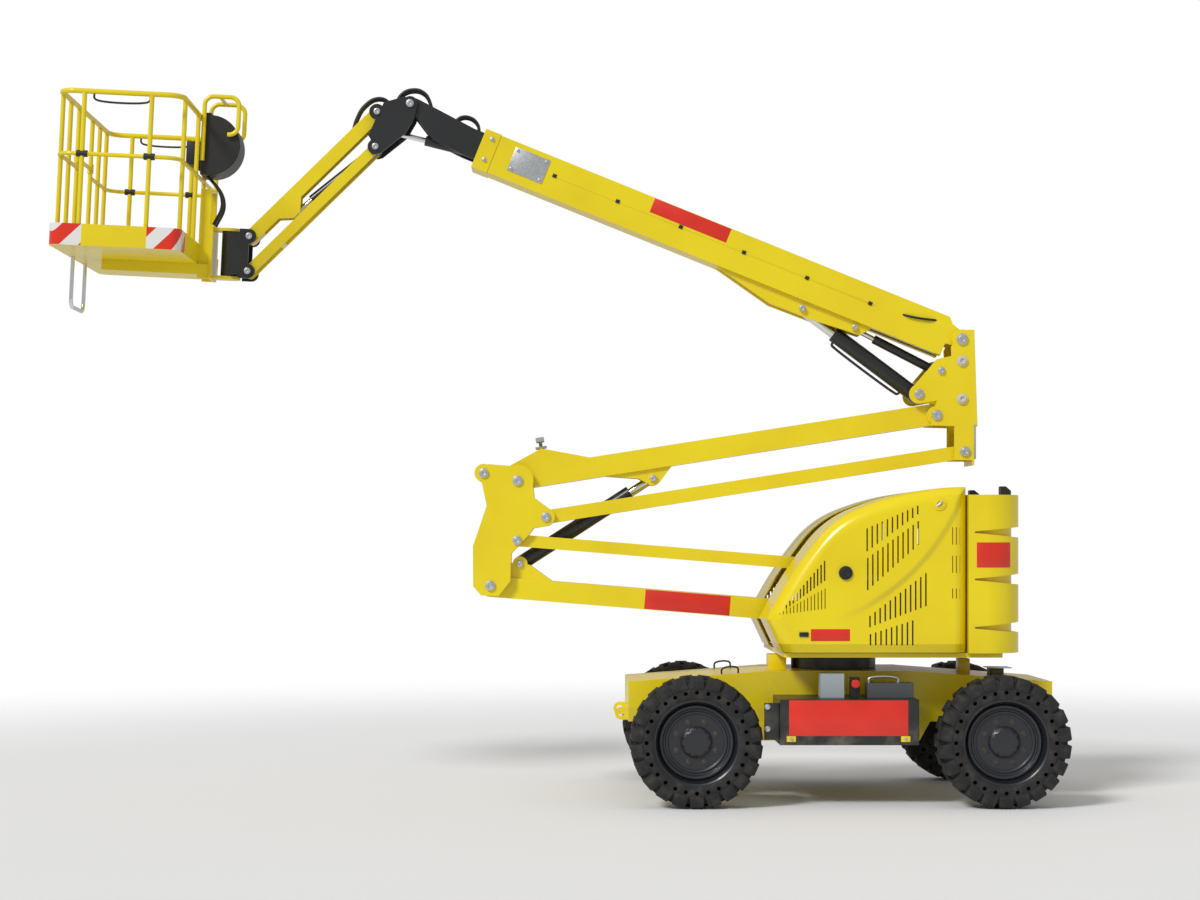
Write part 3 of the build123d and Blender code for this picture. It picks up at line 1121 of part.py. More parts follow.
def basket_carrier():
    """Clamp above and below the rotary actuator, with the post and beam that hold the basket."""
    middle = -JIB_SPACING / 2
    rear = BASKET_FRONT + BASKET_DEPTH
    low = middle - CARRIER_RISE
    face = CARRIER_BACK[0]
    half, plate = CARRIER_CLAMP_HALF, CARRIER_CLAMP_PLATE
    body = block(CARRIER_BACK, (-CARRIER_BACK_HALF, CARRIER_BACK_HALF), (low, middle + CARRIER_RISE))
    reach = ROTATOR_HEIGHT / 2 + CARRIER_CLAMP_GAP
    for z in (middle + reach, middle - reach - plate):
        body += block((face, ROTATOR_DX), (-half, half), (z, z + plate))
        body += Pos(ROTATOR_DX, 0, z + plate / 2) * Cylinder(half, plate)
    post_y = (CARRIER_POST_Y, CARRIER_POST_Y + CARRIER_POST_WIDTH)
    body += both_sides(block((rear, face + 1), post_y, (low, CARRIER_POST_TOP)))
    body += block(
        (BASKET_FRONT + CARRIER_BEAM_FRONT, face + 1), (-CARRIER_BEAM_HALF, CARRIER_BEAM_HALF),
        (BASKET_BOTTOM - CARRIER_BEAM_DEPTH, BASKET_BOTTOM),
    )
    return BASKET_PLACE * body


def basket_floor():
    """Floor tray with toe boards folded up round its edge."""
    half = BASKET_WIDTH / 2
    rear = BASKET_FRONT + BASKET_DEPTH
    tray = block((BASKET_FRONT, rear), (-half, half), (BASKET_BOTTOM, BASKET_BOTTOM + TOE_HEIGHT))
    tray = fillet(tray.edges().filter_by(Axis.Z), RAIL_BEND - RAIL_INSET)
    inside = block(
        (BASKET_FRONT + TOE_WALL, rear - TOE_WALL), (-half + TOE_WALL, half - TOE_WALL),
        (BASKET_BOTTOM + FLOOR_THICKNESS, BASKET_BOTTOM + 2 * TOE_HEIGHT),
    )
    inside = fillet(inside.edges().filter_by(Axis.Z), RAIL_BEND - RAIL_INSET - TOE_WALL)
    return BASKET_PLACE * (tray - inside)


FLOOR_TOP = BASKET_BOTTOM + FLOOR_THICKNESS
TOP_RAIL = BASKET_BOTTOM + RAIL_HEIGHT
MID_RAIL = BASKET_BOTTOM + MID_RAIL_HEIGHT
RAIL_FRONT = BASKET_FRONT + RAIL_INSET
RAIL_REAR = BASKET_FRONT + BASKET_DEPTH - RAIL_INSET
RAIL_SIDE = BASKET_WIDTH / 2 - RAIL_INSET


def post(x, y):
    """Upright tube from the floor to the top rail."""
    return Pos(x, y, (FLOOR_TOP + TOP_RAIL) / 2) * Cylinder(POST_DIAMETER / 2, TOP_RAIL - FLOOR_TOP)


def rails_end(side):
    """Top and middle rail across one end of the basket, bent round its corners, with two posts."""
    first, second = SIDE_POST_AT
    body = post(RAIL_FRONT + first, RAIL_SIDE) + post(RAIL_FRONT + second, RAIL_SIDE)
    straight = RAIL_SIDE - RAIL_BEND
    for z, diameter in ((MID_RAIL, MID_RAIL_DIAMETER), (TOP_RAIL, RAIL_DIAMETER)):
        corners = [
            (RAIL_FRONT, straight, z), (RAIL_FRONT, RAIL_SIDE, z), (RAIL_REAR, RAIL_SIDE, z),
            (RAIL_REAR, straight, z),
        ]
        body += tube(corners, diameter / 2, RAIL_BEND - 1)
    return BASKET_PLACE * (body if side > 0 else mirror(body, about=Plane.XZ))


def rails_front():
    """Front rails with the entry between the two middle posts."""
    straight = RAIL_SIDE - RAIL_BEND
    body = tube([(RAIL_FRONT, -straight, TOP_RAIL), (RAIL_FRONT, straight, TOP_RAIL)], RAIL_DIAMETER / 2, 0)
    run = [(RAIL_FRONT, ENTRY_HALF, MID_RAIL), (RAIL_FRONT, straight, MID_RAIL)]
    wing = tube(run, MID_RAIL_DIAMETER / 2, 0)
    for y in (ENTRY_HALF, straight - CORNER_POST_INSET, (straight + ENTRY_HALF) / 2):
        wing += post(RAIL_FRONT, y)
    return BASKET_PLACE * (body + both_sides(wing))


def rails_rear():
    """Rear rails with posts at the corners and beside the console."""
    straight = RAIL_SIDE - RAIL_BEND
    body = post(RAIL_REAR, straight - CORNER_POST_INSET) + post(RAIL_REAR, REAR_POST_Y)
    body = both_sides(body)
    for z, diameter in ((MID_RAIL, MID_RAIL_DIAMETER), (TOP_RAIL, RAIL_DIAMETER)):
        body += tube([(RAIL_REAR, -straight, z), (RAIL_REAR, straight, z)], diameter / 2, 0)
    return BASKET_PLACE * body


def gate_bar():
    """Drop bar across the entry, with a sleeve sliding on each entry post."""
    z = MID_RAIL + GATE_RISE
    radius = POST_DIAMETER / 2
    place = Pos(RAIL_FRONT, ENTRY_HALF, z)
    body = both_sides(place * Cylinder(radius + GATE_SLEEVE_WALL, GATE_SLEEVE_LENGTH))
    body += tube([(RAIL_FRONT, -ENTRY_HALF, z), (RAIL_FRONT, ENTRY_HALF, z)], MID_RAIL_DIAMETER / 2, 0)
    hole = place * Cylinder(radius + PIN_CLEARANCE, 2 * GATE_SLEEVE_LENGTH)
    return BASKET_PLACE * (body - both_sides(hole))


def basket_step():
    """Chromed bar bent to a U under the entry."""
    y, x = ENTRY_HALF - CORNER_POST_INSET, BASKET_FRONT + STEP_INSET
    top = BASKET_BOTTOM
    low = BASKET_BOTTOM - STEP_DROP
    points = [(x, -y, top), (x, -y, low), (x, y, low), (x, y, top)]
    return BASKET_PLACE * tube(points, STEP_BAR_RADIUS, STEP_BEND)


def console():
    """Control console: a rounded housing that bulges out behind the rear rail."""
    x, z = RAIL_REAR + RAIL_DIAMETER / 2 + PIN_CLEARANCE, TOP_RAIL - CONSOLE_DROP
    half, radius, back = CONSOLE_HALF_WIDTH, CONSOLE_RADIUS, x + CONSOLE_BASE
    bulge = disc((back, z), radius, -half, half)
    bulge -= block((back - 2 * radius, back), (-2 * half, 2 * half), (z - 2 * radius, z + 2 * radius))
    return BASKET_PLACE * (block((x, back), (-half, half), (z - radius, z + CONSOLE_RISE)) + bulge)


def console_guard():
    """Two hoops of tube over the console, standing on the rear rail posts."""
    hoop_radius = RAIL_DIAMETER / 2 - GUARD_WALL_STEP
    x, z = RAIL_REAR + RAIL_DIAMETER / 2 + hoop_radius + PIN_CLEARANCE, TOP_RAIL
    y, top, low, end = GUARD_Y, z + GUARD_RISE, z - GUARD_HOOK_DROP, x + GUARD_REACH
    hoop = [(x, y, z - GUARD_DROP), (x, y, top), (end, y, top), (end, y, low), (end - GUARD_HOOK, y, low)]
    body = both_sides(tube(hoop, hoop_radius, GUARD_BEND))
    tie_x = x + GUARD_TIE_AT
    body += tube([(tie_x, -y, top), (tie_x, y, top)], RAIL_DIAMETER / 2 - GUARD_TIE_STEP, 0)
    return BASKET_PLACE * body


parts["chassis_frame"] = chassis_frame()
parts["rear_axle"] = rear_axle()
parts["front_axle"] = front_axle()
parts["slew_ring"] = slew_ring()
parts["chassis_fittings"] = chassis_fittings()
parts["tie_rod"] = tie_rod()
for name, side in (("left", 1), ("right", -1)):
    parts["side_box_" + name] = side_box(side)
    parts["steering_knuckle_" + name] = steering_knuckle(side)
    parts["hood_" + name] = hood(side)
    parts["basket_rails_" + name] = rails_end(side)
    for end, x in (("front", WHEELBASE / 2), ("rear", -WHEELBASE / 2)):
        parts["tyre_" + end + "_" + name] = tyre(x, side)
        parts["rim_" + end + "_" + name] = rim(x, side)
parts["turret_frame"] = turret_frame()
parts["counterweight"] = counterweight()
parts["power_pack"] = power_pack()
parts["tail_lamp"] = tail_lamp()
parts["lower_arm"] = lower_arm()
parts["lower_link"] = link(KNUCKLE_LINK_PIN, LOWER_LINK_PIVOT, LOWER_LINK_DEPTH, LOWER_LINK_TIES)
parts["knuckle"] = knuckle()
parts["upper_arm"] = upper_arm()
parts["upper_link"] = link(KNUCKLE_UPPER_LINK_PIN, MAST_LINK_PIN, UPPER_LINK_DEPTH, UPPER_LINK_TIES)
parts["boom_rest"] = boom_rest()
parts["mast"] = mast()
parts["riser_barrel"] = cylinder_barrel(
    RISER_BASE, RISER_EYE, RISER_BARREL_RADIUS, RISER_ROD_RADIUS, RISER_BARREL_LENGTH, RISER_BASE_EYE_RADIUS,
    LINK_PIN_DIAMETER, LANE_HALF,
)
parts["riser_rod"] = cylinder_rod(
    RISER_BASE, RISER_EYE, RISER_ROD_RADIUS, RISER_ROD_LENGTH, RISER_ROD_EYE_RADIUS, LANE_HALF,
)
parts["boom_outer"] = boom_outer()
parts["boom_inner"] = boom_inner()
parts["lift_barrel"] = cylinder_barrel(
    LIFT_BASE, LIFT_EYE, LIFT_BARREL_RADIUS, LIFT_ROD_RADIUS, LIFT_BARREL_LENGTH, LIFT_BASE_EYE_RADIUS,
    LINK_PIN_DIAMETER, LANE_HALF,
)
parts["lift_rod"] = cylinder_rod(
    LIFT_BASE, LIFT_EYE, LIFT_ROD_RADIUS, LIFT_ROD_LENGTH, LIFT_ROD_EYE_RADIUS, LANE_HALF,
)
parts["level_barrel"] = cylinder_barrel(
    LEVEL_BASE, LEVEL_EYE, LEVEL_BARREL_RADIUS, LEVEL_ROD_RADIUS, LEVEL_BARREL_LENGTH, LEVEL_BASE_EYE_RADIUS,
    JIB_PIN_DIAMETER, LANE_HALF,
)
parts["level_rod"] = cylinder_rod(
    LEVEL_BASE, LEVEL_EYE, LEVEL_ROD_RADIUS, LEVEL_ROD_LENGTH, LEVEL_ROD_EYE_RADIUS, LANE_HALF,
)
parts["jib_head"] = jib_head()
parts["slave_barrel"] = cylinder_barrel(
    SLAVE_BASE, SLAVE_EYE, SLAVE_BARREL_RADIUS, SLAVE_ROD_RADIUS, SLAVE_BARREL_LENGTH, SLAVE_BASE_EYE_RADIUS,
    JIB_PIN_DIAMETER, SLAVE_EYE_HALF,
)
parts["slave_rod"] = cylinder_rod(
    SLAVE_BASE, SLAVE_EYE, SLAVE_ROD_RADIUS, SLAVE_ROD_LENGTH, SLAVE_ROD_EYE_RADIUS, SLAVE_EYE_HALF,
)
parts["jib_upper_arm"] = jib_upper_arm()
parts["jib_lower_arm"] = jib_lower_arm()
parts["jib_barrel"] = cylinder_barrel(
    JIB_LOW_PIN, JIB_EYE, JIB_BARREL_RADIUS, JIB_ROD_RADIUS, JIB_BARREL_LENGTH, JIB_BASE_EYE_RADIUS,
    JIB_PIN_DIAMETER, JIB_EYE_HALF,
)
parts["jib_rod"] = cylinder_rod(
    JIB_LOW_PIN, JIB_EYE, JIB_ROD_RADIUS, JIB_ROD_LENGTH, JIB_ROD_EYE_RADIUS, JIB_EYE_HALF,
)
parts["platform_bracket"] = platform_bracket()
parts["basket_carrier"] = basket_carrier()
parts["basket_floor"] = basket_floor()
parts["basket_rails_front"] = rails_front()
parts["basket_rails_rear"] = rails_rear()
parts["gate_bar"] = gate_bar()
parts["basket_step"] = basket_step()
parts["console"] = console()
parts["console_guard"] = console_guard()

os.makedirs("parts", exist_ok=True)
for name, solid in parts.items():
    export_step(solid, os.path.join("parts", name + ".step"))
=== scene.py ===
from math import cos, pi, radians, sin

import bpy
from mathutils import Matrix


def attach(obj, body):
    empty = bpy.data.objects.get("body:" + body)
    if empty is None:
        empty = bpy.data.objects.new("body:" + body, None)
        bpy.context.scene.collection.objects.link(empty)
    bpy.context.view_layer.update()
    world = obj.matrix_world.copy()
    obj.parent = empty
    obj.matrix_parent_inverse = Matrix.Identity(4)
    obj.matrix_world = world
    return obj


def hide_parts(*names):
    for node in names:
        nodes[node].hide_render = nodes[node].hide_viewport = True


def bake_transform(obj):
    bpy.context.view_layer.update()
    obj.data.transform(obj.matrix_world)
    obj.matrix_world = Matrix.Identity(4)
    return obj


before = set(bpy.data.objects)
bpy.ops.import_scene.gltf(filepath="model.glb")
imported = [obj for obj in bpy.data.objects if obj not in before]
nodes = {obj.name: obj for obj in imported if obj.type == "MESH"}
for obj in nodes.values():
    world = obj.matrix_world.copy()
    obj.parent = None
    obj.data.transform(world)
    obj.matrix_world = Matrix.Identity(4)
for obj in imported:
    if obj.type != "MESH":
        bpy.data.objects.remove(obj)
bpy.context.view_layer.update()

# Studio. A pale round floor fades into a white surround, one soft sun stands high on the left,
# and the camera looks square at the machine's right side from eye height.
FLOOR_RADIUS = 30.0
FLOOR_FADE = (6.0, 14.0)
SUN_STRENGTH = 1.9
SUN_TURN = (radians(48), radians(-18), radians(-24))
SKY_LIGHT = 0.5
CAMERA_PLACE = (-1.832, -16.5, 1.694)
SENSOR_MM = 36.0
LENS_MM = 73.5
LENS_SHIFT = (0.0325, 0.0758)

scene = bpy.context.scene
scene.view_settings.view_transform = "Standard"
bpy.ops.object.select_all(action="DESELECT")
bpy.ops.object.camera_add(location=CAMERA_PLACE, rotation=(pi / 2, 0, 0))
camera = bpy.context.object
camera.data.sensor_width = SENSOR_MM
camera.data.lens = LENS_MM
camera.data.shift_x, camera.data.shift_y = LENS_SHIFT
scene.camera = camera

bpy.ops.object.light_add(type="SUN", rotation=SUN_TURN)
sun = bpy.context.object
sun.data.energy = SUN_STRENGTH
sun.data.angle = radians(14)


class Tint:
    """One shader socket, which adds, scales and compares like a number."""

    def __init__(self, tree, socket):
        self.tree = tree
        self.socket = socket

    def node(self, kind, settings, sockets, output=0):
        """Any other node: its settings first, then the values or links of its sockets."""
        made = self.tree.nodes.new(kind)
        for name, value in settings.items():
            setattr(made, name, value)
        for key, value in sockets.items():
            if isinstance(value, Tint):
                self.tree.links.new(value.socket, made.inputs[key])
            else:
                made.inputs[key].default_value = value
        return Tint(self.tree, made.outputs[output])

    def maths(self, operation, first, second=0.0):
        return self.node("ShaderNodeMath", {"operation": operation}, {0: first, 1: second})

    def __add__(self, other):
        return self.maths("ADD", self, other)

    __radd__ = __add__

    def __sub__(self, other):
        return self.maths("SUBTRACT", self, other)

    def __rsub__(self, other):
        return self.maths("SUBTRACT", other, self)

    def __mul__(self, other):
        return self.maths("MULTIPLY", self, other)

    __rmul__ = __mul__

    def __truediv__(self, other):
        return self.maths("DIVIDE", self, other)

    def __rtruediv__(self, other):
        return self.maths("DIVIDE", other, self)

    def __gt__(self, other):
        return self.maths("GREATER_THAN", self, other)

    def __lt__(self, other):
        return self.maths("LESS_THAN", self, other)

    def __mod__(self, other):
        return self.maths("FLOORED_MODULO", self, other)

    def __abs__(self):
        return self.maths("ABSOLUTE", self)

    def between(self, low, high):
        """0 below one value, 1 above another, and a smooth step between."""
        return self.node(
            "ShaderNodeMapRange", {"interpolation_type": "SMOOTHSTEP"},
            {"Value": self, "From Min": low, "From Max": high},
        )

    def axes(self):
        """The three numbers of a vector."""
        return [self.node("ShaderNodeSeparateXYZ", {}, {0: self}, output=axis) for axis in range(3)]

    def noise(self, scale, detail=3.0):
        """Cloudy variation over a vector."""
        return self.node("ShaderNodeTexNoise", {}, {"Vector": self, "Scale": scale, "Detail": detail})

    def blend(self, low, high):
        """A colour between two, by this mask."""
        return self.node("ShaderNodeMix", {"data_type": "RGBA"}, {0: self, 6: low, 7: high}, output=2)

    def bump(self, strength, depth, **under):
        """A bumped normal from this height, over another normal if one is given."""
        return self.node(
            "ShaderNodeBump", {}, {"Strength": strength, "Distance": depth, "Height": self, **under}
        )


def new_finish(name, **plain):
    """A material with even values set on its shader, and the object coordinates that patterns read."""
    material = bpy.data.materials.new(name)
    material.use_nodes = True
    tree = material.node_tree
    shader = tree.nodes["Principled BSDF"]
    for socket, value in plain.items():
        shader.inputs[socket.replace("_", " ")].default_value = value
    where = Tint(tree, tree.nodes.new("ShaderNodeTexCoord").outputs["Object"])

    def feed(**links):
        for socket, tint in links.items():
            tree.links.new(tint.socket, shader.inputs[socket.replace("_", " ")])

    return material, where, feed


bpy.ops.object.select_all(action="DESELECT")
bpy.ops.mesh.primitive_circle_add(vertices=96, radius=FLOOR_RADIUS, fill_type="NGON")
floor = bpy.context.object
floor.name = "studio_floor"
floor_paint, where, feed = new_finish("studio_floor", Roughness=0.9)
feed(Base_Color=where.noise(0.4).blend((0.86, 0.86, 0.86, 1), (0.88, 0.88, 0.88, 1)))
floor_tree = floor_paint.node_tree
painted_floor = Tint(floor_tree, floor_tree.nodes["Principled BSDF"].outputs[0])
distance = where.node("ShaderNodeVectorMath", {"operation": "LENGTH"}, {0: where}, output=1)
clear = where.node("ShaderNodeBsdfTransparent", {}, {})
faded = where.node("ShaderNodeMixShader", {}, {0: distance.between(*FLOOR_FADE), 1: painted_floor, 2: clear})
floor_tree.links.new(faded.socket, floor_tree.nodes["Material Output"].inputs["Surface"])
floor.data.materials.append(floor_paint)

world = bpy.data.worlds.new("studio")
scene.world = world
world.use_nodes = True
world_tree = world.node_tree
light_path = world_tree.nodes.new("ShaderNodeLightPath")
rays = Tint(world_tree, light_path.outputs["Is Camera Ray"])
through = Tint(world_tree, light_path.outputs["Is Transmission Ray"])
sky = SKY_LIGHT + rays.maths("MAXIMUM", rays, through) * (1.0 - SKY_LIGHT)
world_tree.nodes["Background"].inputs["Color"].default_value = (1, 1, 1, 1)
world_tree.links.new(sky.socket, world_tree.nodes["Background"].inputs["Strength"])

# Chassis. A folded and welded steel tray, sprayed bright yellow, with road dust near the ground.
# Its sheet edges are broken by a small radius, as on every other cut plate of the machine.
YELLOW = (0.87, 0.70, 0.0, 1)
YELLOW_DEEP = (0.80, 0.61, 0.0, 1)
DUST = (0.30, 0.25, 0.17, 1)
EDGE_RADIUS = 0.003


def sprayed(name, colour, deep, roughness, dust_top=0.0):
    """Sprayed paint: slow drift of the shade, a little orange peel, and dust up to a height."""
    material, where, feed = new_finish(name, Coat_Weight=0.2, Coat_Roughness=0.12)
    drift = where.noise(1.7)
    coat = drift.between(0.25, 0.75).blend(deep, colour)
    gloss = roughness + drift * 0.08
    if dust_top:
        height = where.axes()[2]
        dusty = (1.0 - height.between(0.2, dust_top)) * where.noise(9.0, 6.0).between(0.38, 0.78) * 0.55
        coat = dusty.blend(coat, DUST)
        gloss = gloss + dusty * 0.5
    feed(Base_Color=coat, Roughness=gloss, Normal=where.noise(260.0, 2.0).bump(0.06, 0.001))
    return material


def painted(piece, finish):
    """Gives a piece one finish."""
    piece.data.materials.clear()
    piece.data.materials.append(finish)
    return piece


def soften(piece, width=EDGE_RADIUS):
    """Rounds a node's sharp edges and shades its round faces smoothly, and leaves its own mesh alone."""
    for face in piece.data.polygons:
        face.use_smooth = True
    weld = piece.modifiers.new("weld", "WELD")
    weld.merge_threshold = 0.00002
    flat = piece.modifiers.new("flat", "DECIMATE")
    flat.decimate_type = "DISSOLVE"
    flat.angle_limit = radians(1)
    edge = piece.modifiers.new("edge", "BEVEL")
    edge.width = width
    edge.segments = 2
    edge.limit_method = "ANGLE"
    edge.angle_limit = radians(40)
    edge.use_clamp_overlap = True
    piece.modifiers.new("normals", "WEIGHTED_NORMAL").keep_sharp = False


def dress(node, finish, width=EDGE_RADIUS):
    """Gives a node its finish and softened edges."""
    soften(painted(nodes[node], finish), width)


chassis_yellow = sprayed("chassis_yellow", YELLOW, YELLOW_DEEP, 0.26, dust_top=0.95)
dress("chassis_frame", chassis_yellow)

# Axles and steering. Steel castings and flat bar under satin black paint, grey with dust.
# The axle at the counterweight's end carries the two steering knuckles and the tie rod.
BLACK = (0.012, 0.013, 0.015, 1)
BLACK_DEEP = (0.008, 0.009, 0.010, 1)
chassis_black = sprayed("chassis_black", BLACK, BLACK_DEEP, 0.38, dust_top=0.8)
for node in ("rear_axle", "front_axle", "steering_knuckle_left", "steering_knuckle_right", "tie_rod"):
    dress(node, chassis_black)

# Slew ring. A black bearing ring between chassis and turret,
# in the cleaner black that the cylinders and the boom's nose share.
satin_black = sprayed("satin_black", BLACK, BLACK_DEEP, 0.34)
dress("slew_ring", satin_black)

# Tyres. Solid rubber with staggered lugs that run down the shoulders, and a row of round
# holes through each sidewall that lets the rubber give.
TREAD_RADIUS = 0.4176
CARCASS_RADIUS = 0.393
TYRE_HALF = 0.150
SEAT_RADIUS = 0.2730
LUG_COUNT = 22
LUG_HALF = 0.044
LUG_LEAN = 0.004
LUG_TOP = 0.41
HOLE_COUNT = 28
HOLE_CIRCLE = 0.318
HOLE_RADIUS = 0.0135
HOLE_DEPTH = 0.09
HOLE_Y = 0.135
SMOOTH_BELOW = radians(35)
MIRROR_Y = Matrix.Scale(-1, 4, (0, 1, 0))

rubber, where, feed = new_finish("tyre_rubber", Specular_IOR_Level=0.35)
grime = where.noise(14.0, 6.0).between(0.42, 0.75)
feed(Base_Color=(grime * 0.6).blend((0.016, 0.016, 0.017, 1), (0.075, 0.066, 0.054, 1)))
feed(Roughness=0.72 + grime * 0.2, Normal=where.noise(120.0).bump(0.25, 0.002))


def outline_piece(name, points):
    """A flat closed outline as a new mesh, from its points in order."""
    bpy.ops.object.select_all(action="DESELECT")
    bpy.ops.mesh.primitive_circle_add(vertices=len(points), fill_type="NGON")
    piece = bpy.context.object
    piece.name = name
    for vertex, point in zip(piece.data.vertices, points):
        vertex.co = point
    return piece


def tidy_mesh(merge=0.00005):
    """Merges doubles and turns the faces of the active piece outwards."""
    bpy.ops.object.mode_set(mode="EDIT")
    bpy.ops.mesh.select_all(action="SELECT")
    bpy.ops.mesh.remove_doubles(threshold=merge)
    bpy.ops.mesh.normals_make_consistent(inside=False)
    bpy.ops.object.mode_set(mode="OBJECT")


def pushed(name, points, step):
    """A plate: an outline extruded by a step."""
    piece = outline_piece(name, points)
    bpy.ops.object.mode_set(mode="EDIT")
    bpy.ops.mesh.select_all(action="SELECT")
    bpy.ops.mesh.extrude_region_move(TRANSFORM_OT_translate={"value": step})
    bpy.ops.object.mode_set(mode="OBJECT")
    tidy_mesh()
    return piece


def spun(name, points, steps):
    """A ring: an outline spun once round the Y axis."""
    piece = outline_piece(name, points)
    bpy.ops.object.mode_set(mode="EDIT")
    bpy.ops.mesh.select_all(action="SELECT")
    bpy.ops.mesh.delete(type="ONLY_FACE")
    bpy.ops.mesh.select_all(action="SELECT")
    bpy.ops.mesh.spin(steps=steps, angle=2 * pi, center=(0, 0, 0), axis=(0, 1, 0))
    bpy.ops.object.mode_set(mode="OBJECT")
    tidy_mesh()
    return piece


def drum(vertices, radius, depth, place=(0, 0, 0)):
    """A blank with its axis along Y, to be cut, rounded or pressed further."""
    bpy.ops.object.select_all(action="DESELECT")
    bpy.ops.mesh.primitive_cylinder_add(
        vertices=vertices, radius=radius, depth=depth, location=place, rotation=(pi / 2, 0, 0)
    )
    bpy.ops.object.transform_apply(location=True, rotation=True, scale=True)
    return bpy.context.object


def activate(piece):
    """Makes a piece the only one selected."""
    bpy.ops.object.select_all(action="DESELECT")
    bpy.context.view_layer.objects.active = piece
    piece.select_set(True)


def round_edges(piece, width, segments=2, angle=40):
    """Bevels a new piece's sharp edges and shades it smooth by angle."""
    activate(piece)
    edge = piece.modifiers.new("edge", "BEVEL")
    edge.width = width
    edge.segments = segments
    edge.limit_method = "ANGLE"
    edge.angle_limit = radians(angle)
    edge.harden_normals = False
    bpy.ops.object.modifier_apply(modifier="edge")
    bpy.ops.object.shade_smooth_by_angle(angle=SMOOTH_BELOW)
    return piece


def joined(pieces):
    """Several pieces as one mesh."""
    bpy.ops.object.select_all(action="DESELECT")
    for piece in pieces:
        piece.select_set(True)
    bpy.context.view_layer.objects.active = pieces[0]
    bpy.ops.object.join()
    return bpy.context.object


def twin_of(model, name, place):
    """A copy of a model with its own mesh, placed by a matrix in its mesh."""
    twin = model.copy()
    twin.data = model.data.copy()
    twin.name = name
    twin.data.transform(place)
    if place.determinant() < 0:
        twin.data.flip_normals()
    bpy.context.collection.objects.link(twin)
    return twin


def gather(model, name, places):
    """Copies of a model at several places, joined into one piece."""
    group = joined([twin_of(model, name, place) for place in places])
    group.name = name
    return group


def spread(model, name, places):
    """The same, for a model that isn't needed again."""
    group = gather(model, name, places)
    bpy.data.objects.remove(model)
    return group


def around(count, first=0.0):
    """Even turns about a wheel's axis, the first one given in pitches."""
    return [Matrix.Rotation((i + first) * 2 * pi / count, 4, "Y") for i in range(count)]


carcass = spun("tyre", [
    (SEAT_RADIUS, -0.136, 0), (0.292, -0.146, 0), (0.345, -0.143, 0), (0.372, -0.128, 0),
    (CARCASS_RADIUS, -0.104, 0), (CARCASS_RADIUS + 0.003, 0, 0), (CARCASS_RADIUS, 0.104, 0),
    (0.372, 0.128, 0), (0.345, 0.143, 0), (0.292, 0.146, 0), (SEAT_RADIUS, 0.136, 0),
], 112)
holes = spread(
    drum(14, HOLE_RADIUS, HOLE_DEPTH, (HOLE_CIRCLE, HOLE_Y, 0)), "holes",
    around(HOLE_COUNT) + [MIRROR_Y @ turn for turn in around(HOLE_COUNT)],
)
activate(carcass)
cut = carcass.modifiers.new("holes", "BOOLEAN")
cut.object = holes
cut.operation = "DIFFERENCE"
cut.solver = "EXACT"
bpy.ops.object.modifier_apply(modifier="holes")
bpy.data.objects.remove(holes)
lug = pushed("lug", [
    (0.386, 0.004, -LUG_HALF), (TREAD_RADIUS, 0.006, LUG_LEAN - LUG_HALF),
    (TREAD_RADIUS, 0.112, LUG_LEAN - LUG_HALF), (0.402, 0.140, -LUG_HALF), (0.352, TYRE_HALF, -LUG_HALF),
    (0.338, TYRE_HALF - 0.003, -LUG_HALF), (0.338, 0.130, -LUG_HALF), (0.372, 0.118, -LUG_HALF),
], (0, 0, 2 * LUG_HALF))
for vertex in lug.data.vertices:
    if vertex.co.z > 0 and vertex.co.x > LUG_TOP:
        vertex.co.z = LUG_HALF - LUG_LEAN
round_edges(lug, 0.004)
lugs = spread(lug, "lugs", around(LUG_COUNT, 0.5) + [MIRROR_Y @ turn for turn in around(LUG_COUNT)])
tyre_model = joined([carcass, lugs])
bpy.ops.object.shade_smooth_by_angle(angle=SMOOTH_BELOW)
painted(tyre_model, rubber)

# Rims and wheels. Dished steel discs under dark blue-grey paint with two pressed beads, held by
# eight bolts round the hub cover; the tyre goes on each of the four.
AXLE_HEIGHT = 0.420
AXLE_X = 0.975
WHEEL_Y = 0.925
BOLT_COUNT = 8
BOLT_CIRCLE = 0.135
BOLT_RADIUS = 0.0135
BOLT_STAND = 0.012
DISC_Y = 0.985
SIDES = (("left", 1), ("right", -1))
rim_paint = sprayed("rim_paint", (0.013, 0.016, 0.021, 1), (0.009, 0.011, 0.015, 1), 0.34)
dull_steel, where, feed = new_finish("dull_steel", Metallic=1.0)
wear = where.noise(60.0)
feed(Base_Color=wear.blend((0.060, 0.056, 0.052, 1), (0.130, 0.120, 0.110, 1)), Roughness=0.4 + wear * 0.2)
zinc, where, feed = new_finish("zinc_plate", Metallic=1.0)
spangle = where.node("ShaderNodeTexVoronoi", {}, {"Vector": where, "Scale": 90.0}, output=0)
feed(Base_Color=spangle.between(0.0, 0.9).blend((0.50, 0.53, 0.55, 1), (0.68, 0.70, 0.70, 1)))
feed(Roughness=0.26 + where.noise(30.0) * 0.2)

bolt_head = round_edges(drum(6, BOLT_RADIUS, 0.016), 0.002)
washer = round_edges(drum(24, BOLT_RADIUS * 1.5, 0.004, (0, -0.010, 0)), 0.001)
bolt_model = painted(joined([bolt_head, washer]), zinc)
bolt_model.name = "bolt_model"
ring_model = spun("ring_model", [
    (0.174, 0.980, 0), (0.178, 0.990, 0), (0.192, 0.996, 0), (0.200, 0.990, 0), (0.208, 0.990, 0),
    (0.216, 1.002, 0), (0.231, 1.006, 0), (0.240, 0.996, 0), (0.240, 0.980, 0),
], 96)
painted(round_edges(ring_model, 0.0025, segments=3, angle=20), rim_paint)


def fixed(piece, body):
    """Puts a finished piece on a body."""
    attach(piece, body)


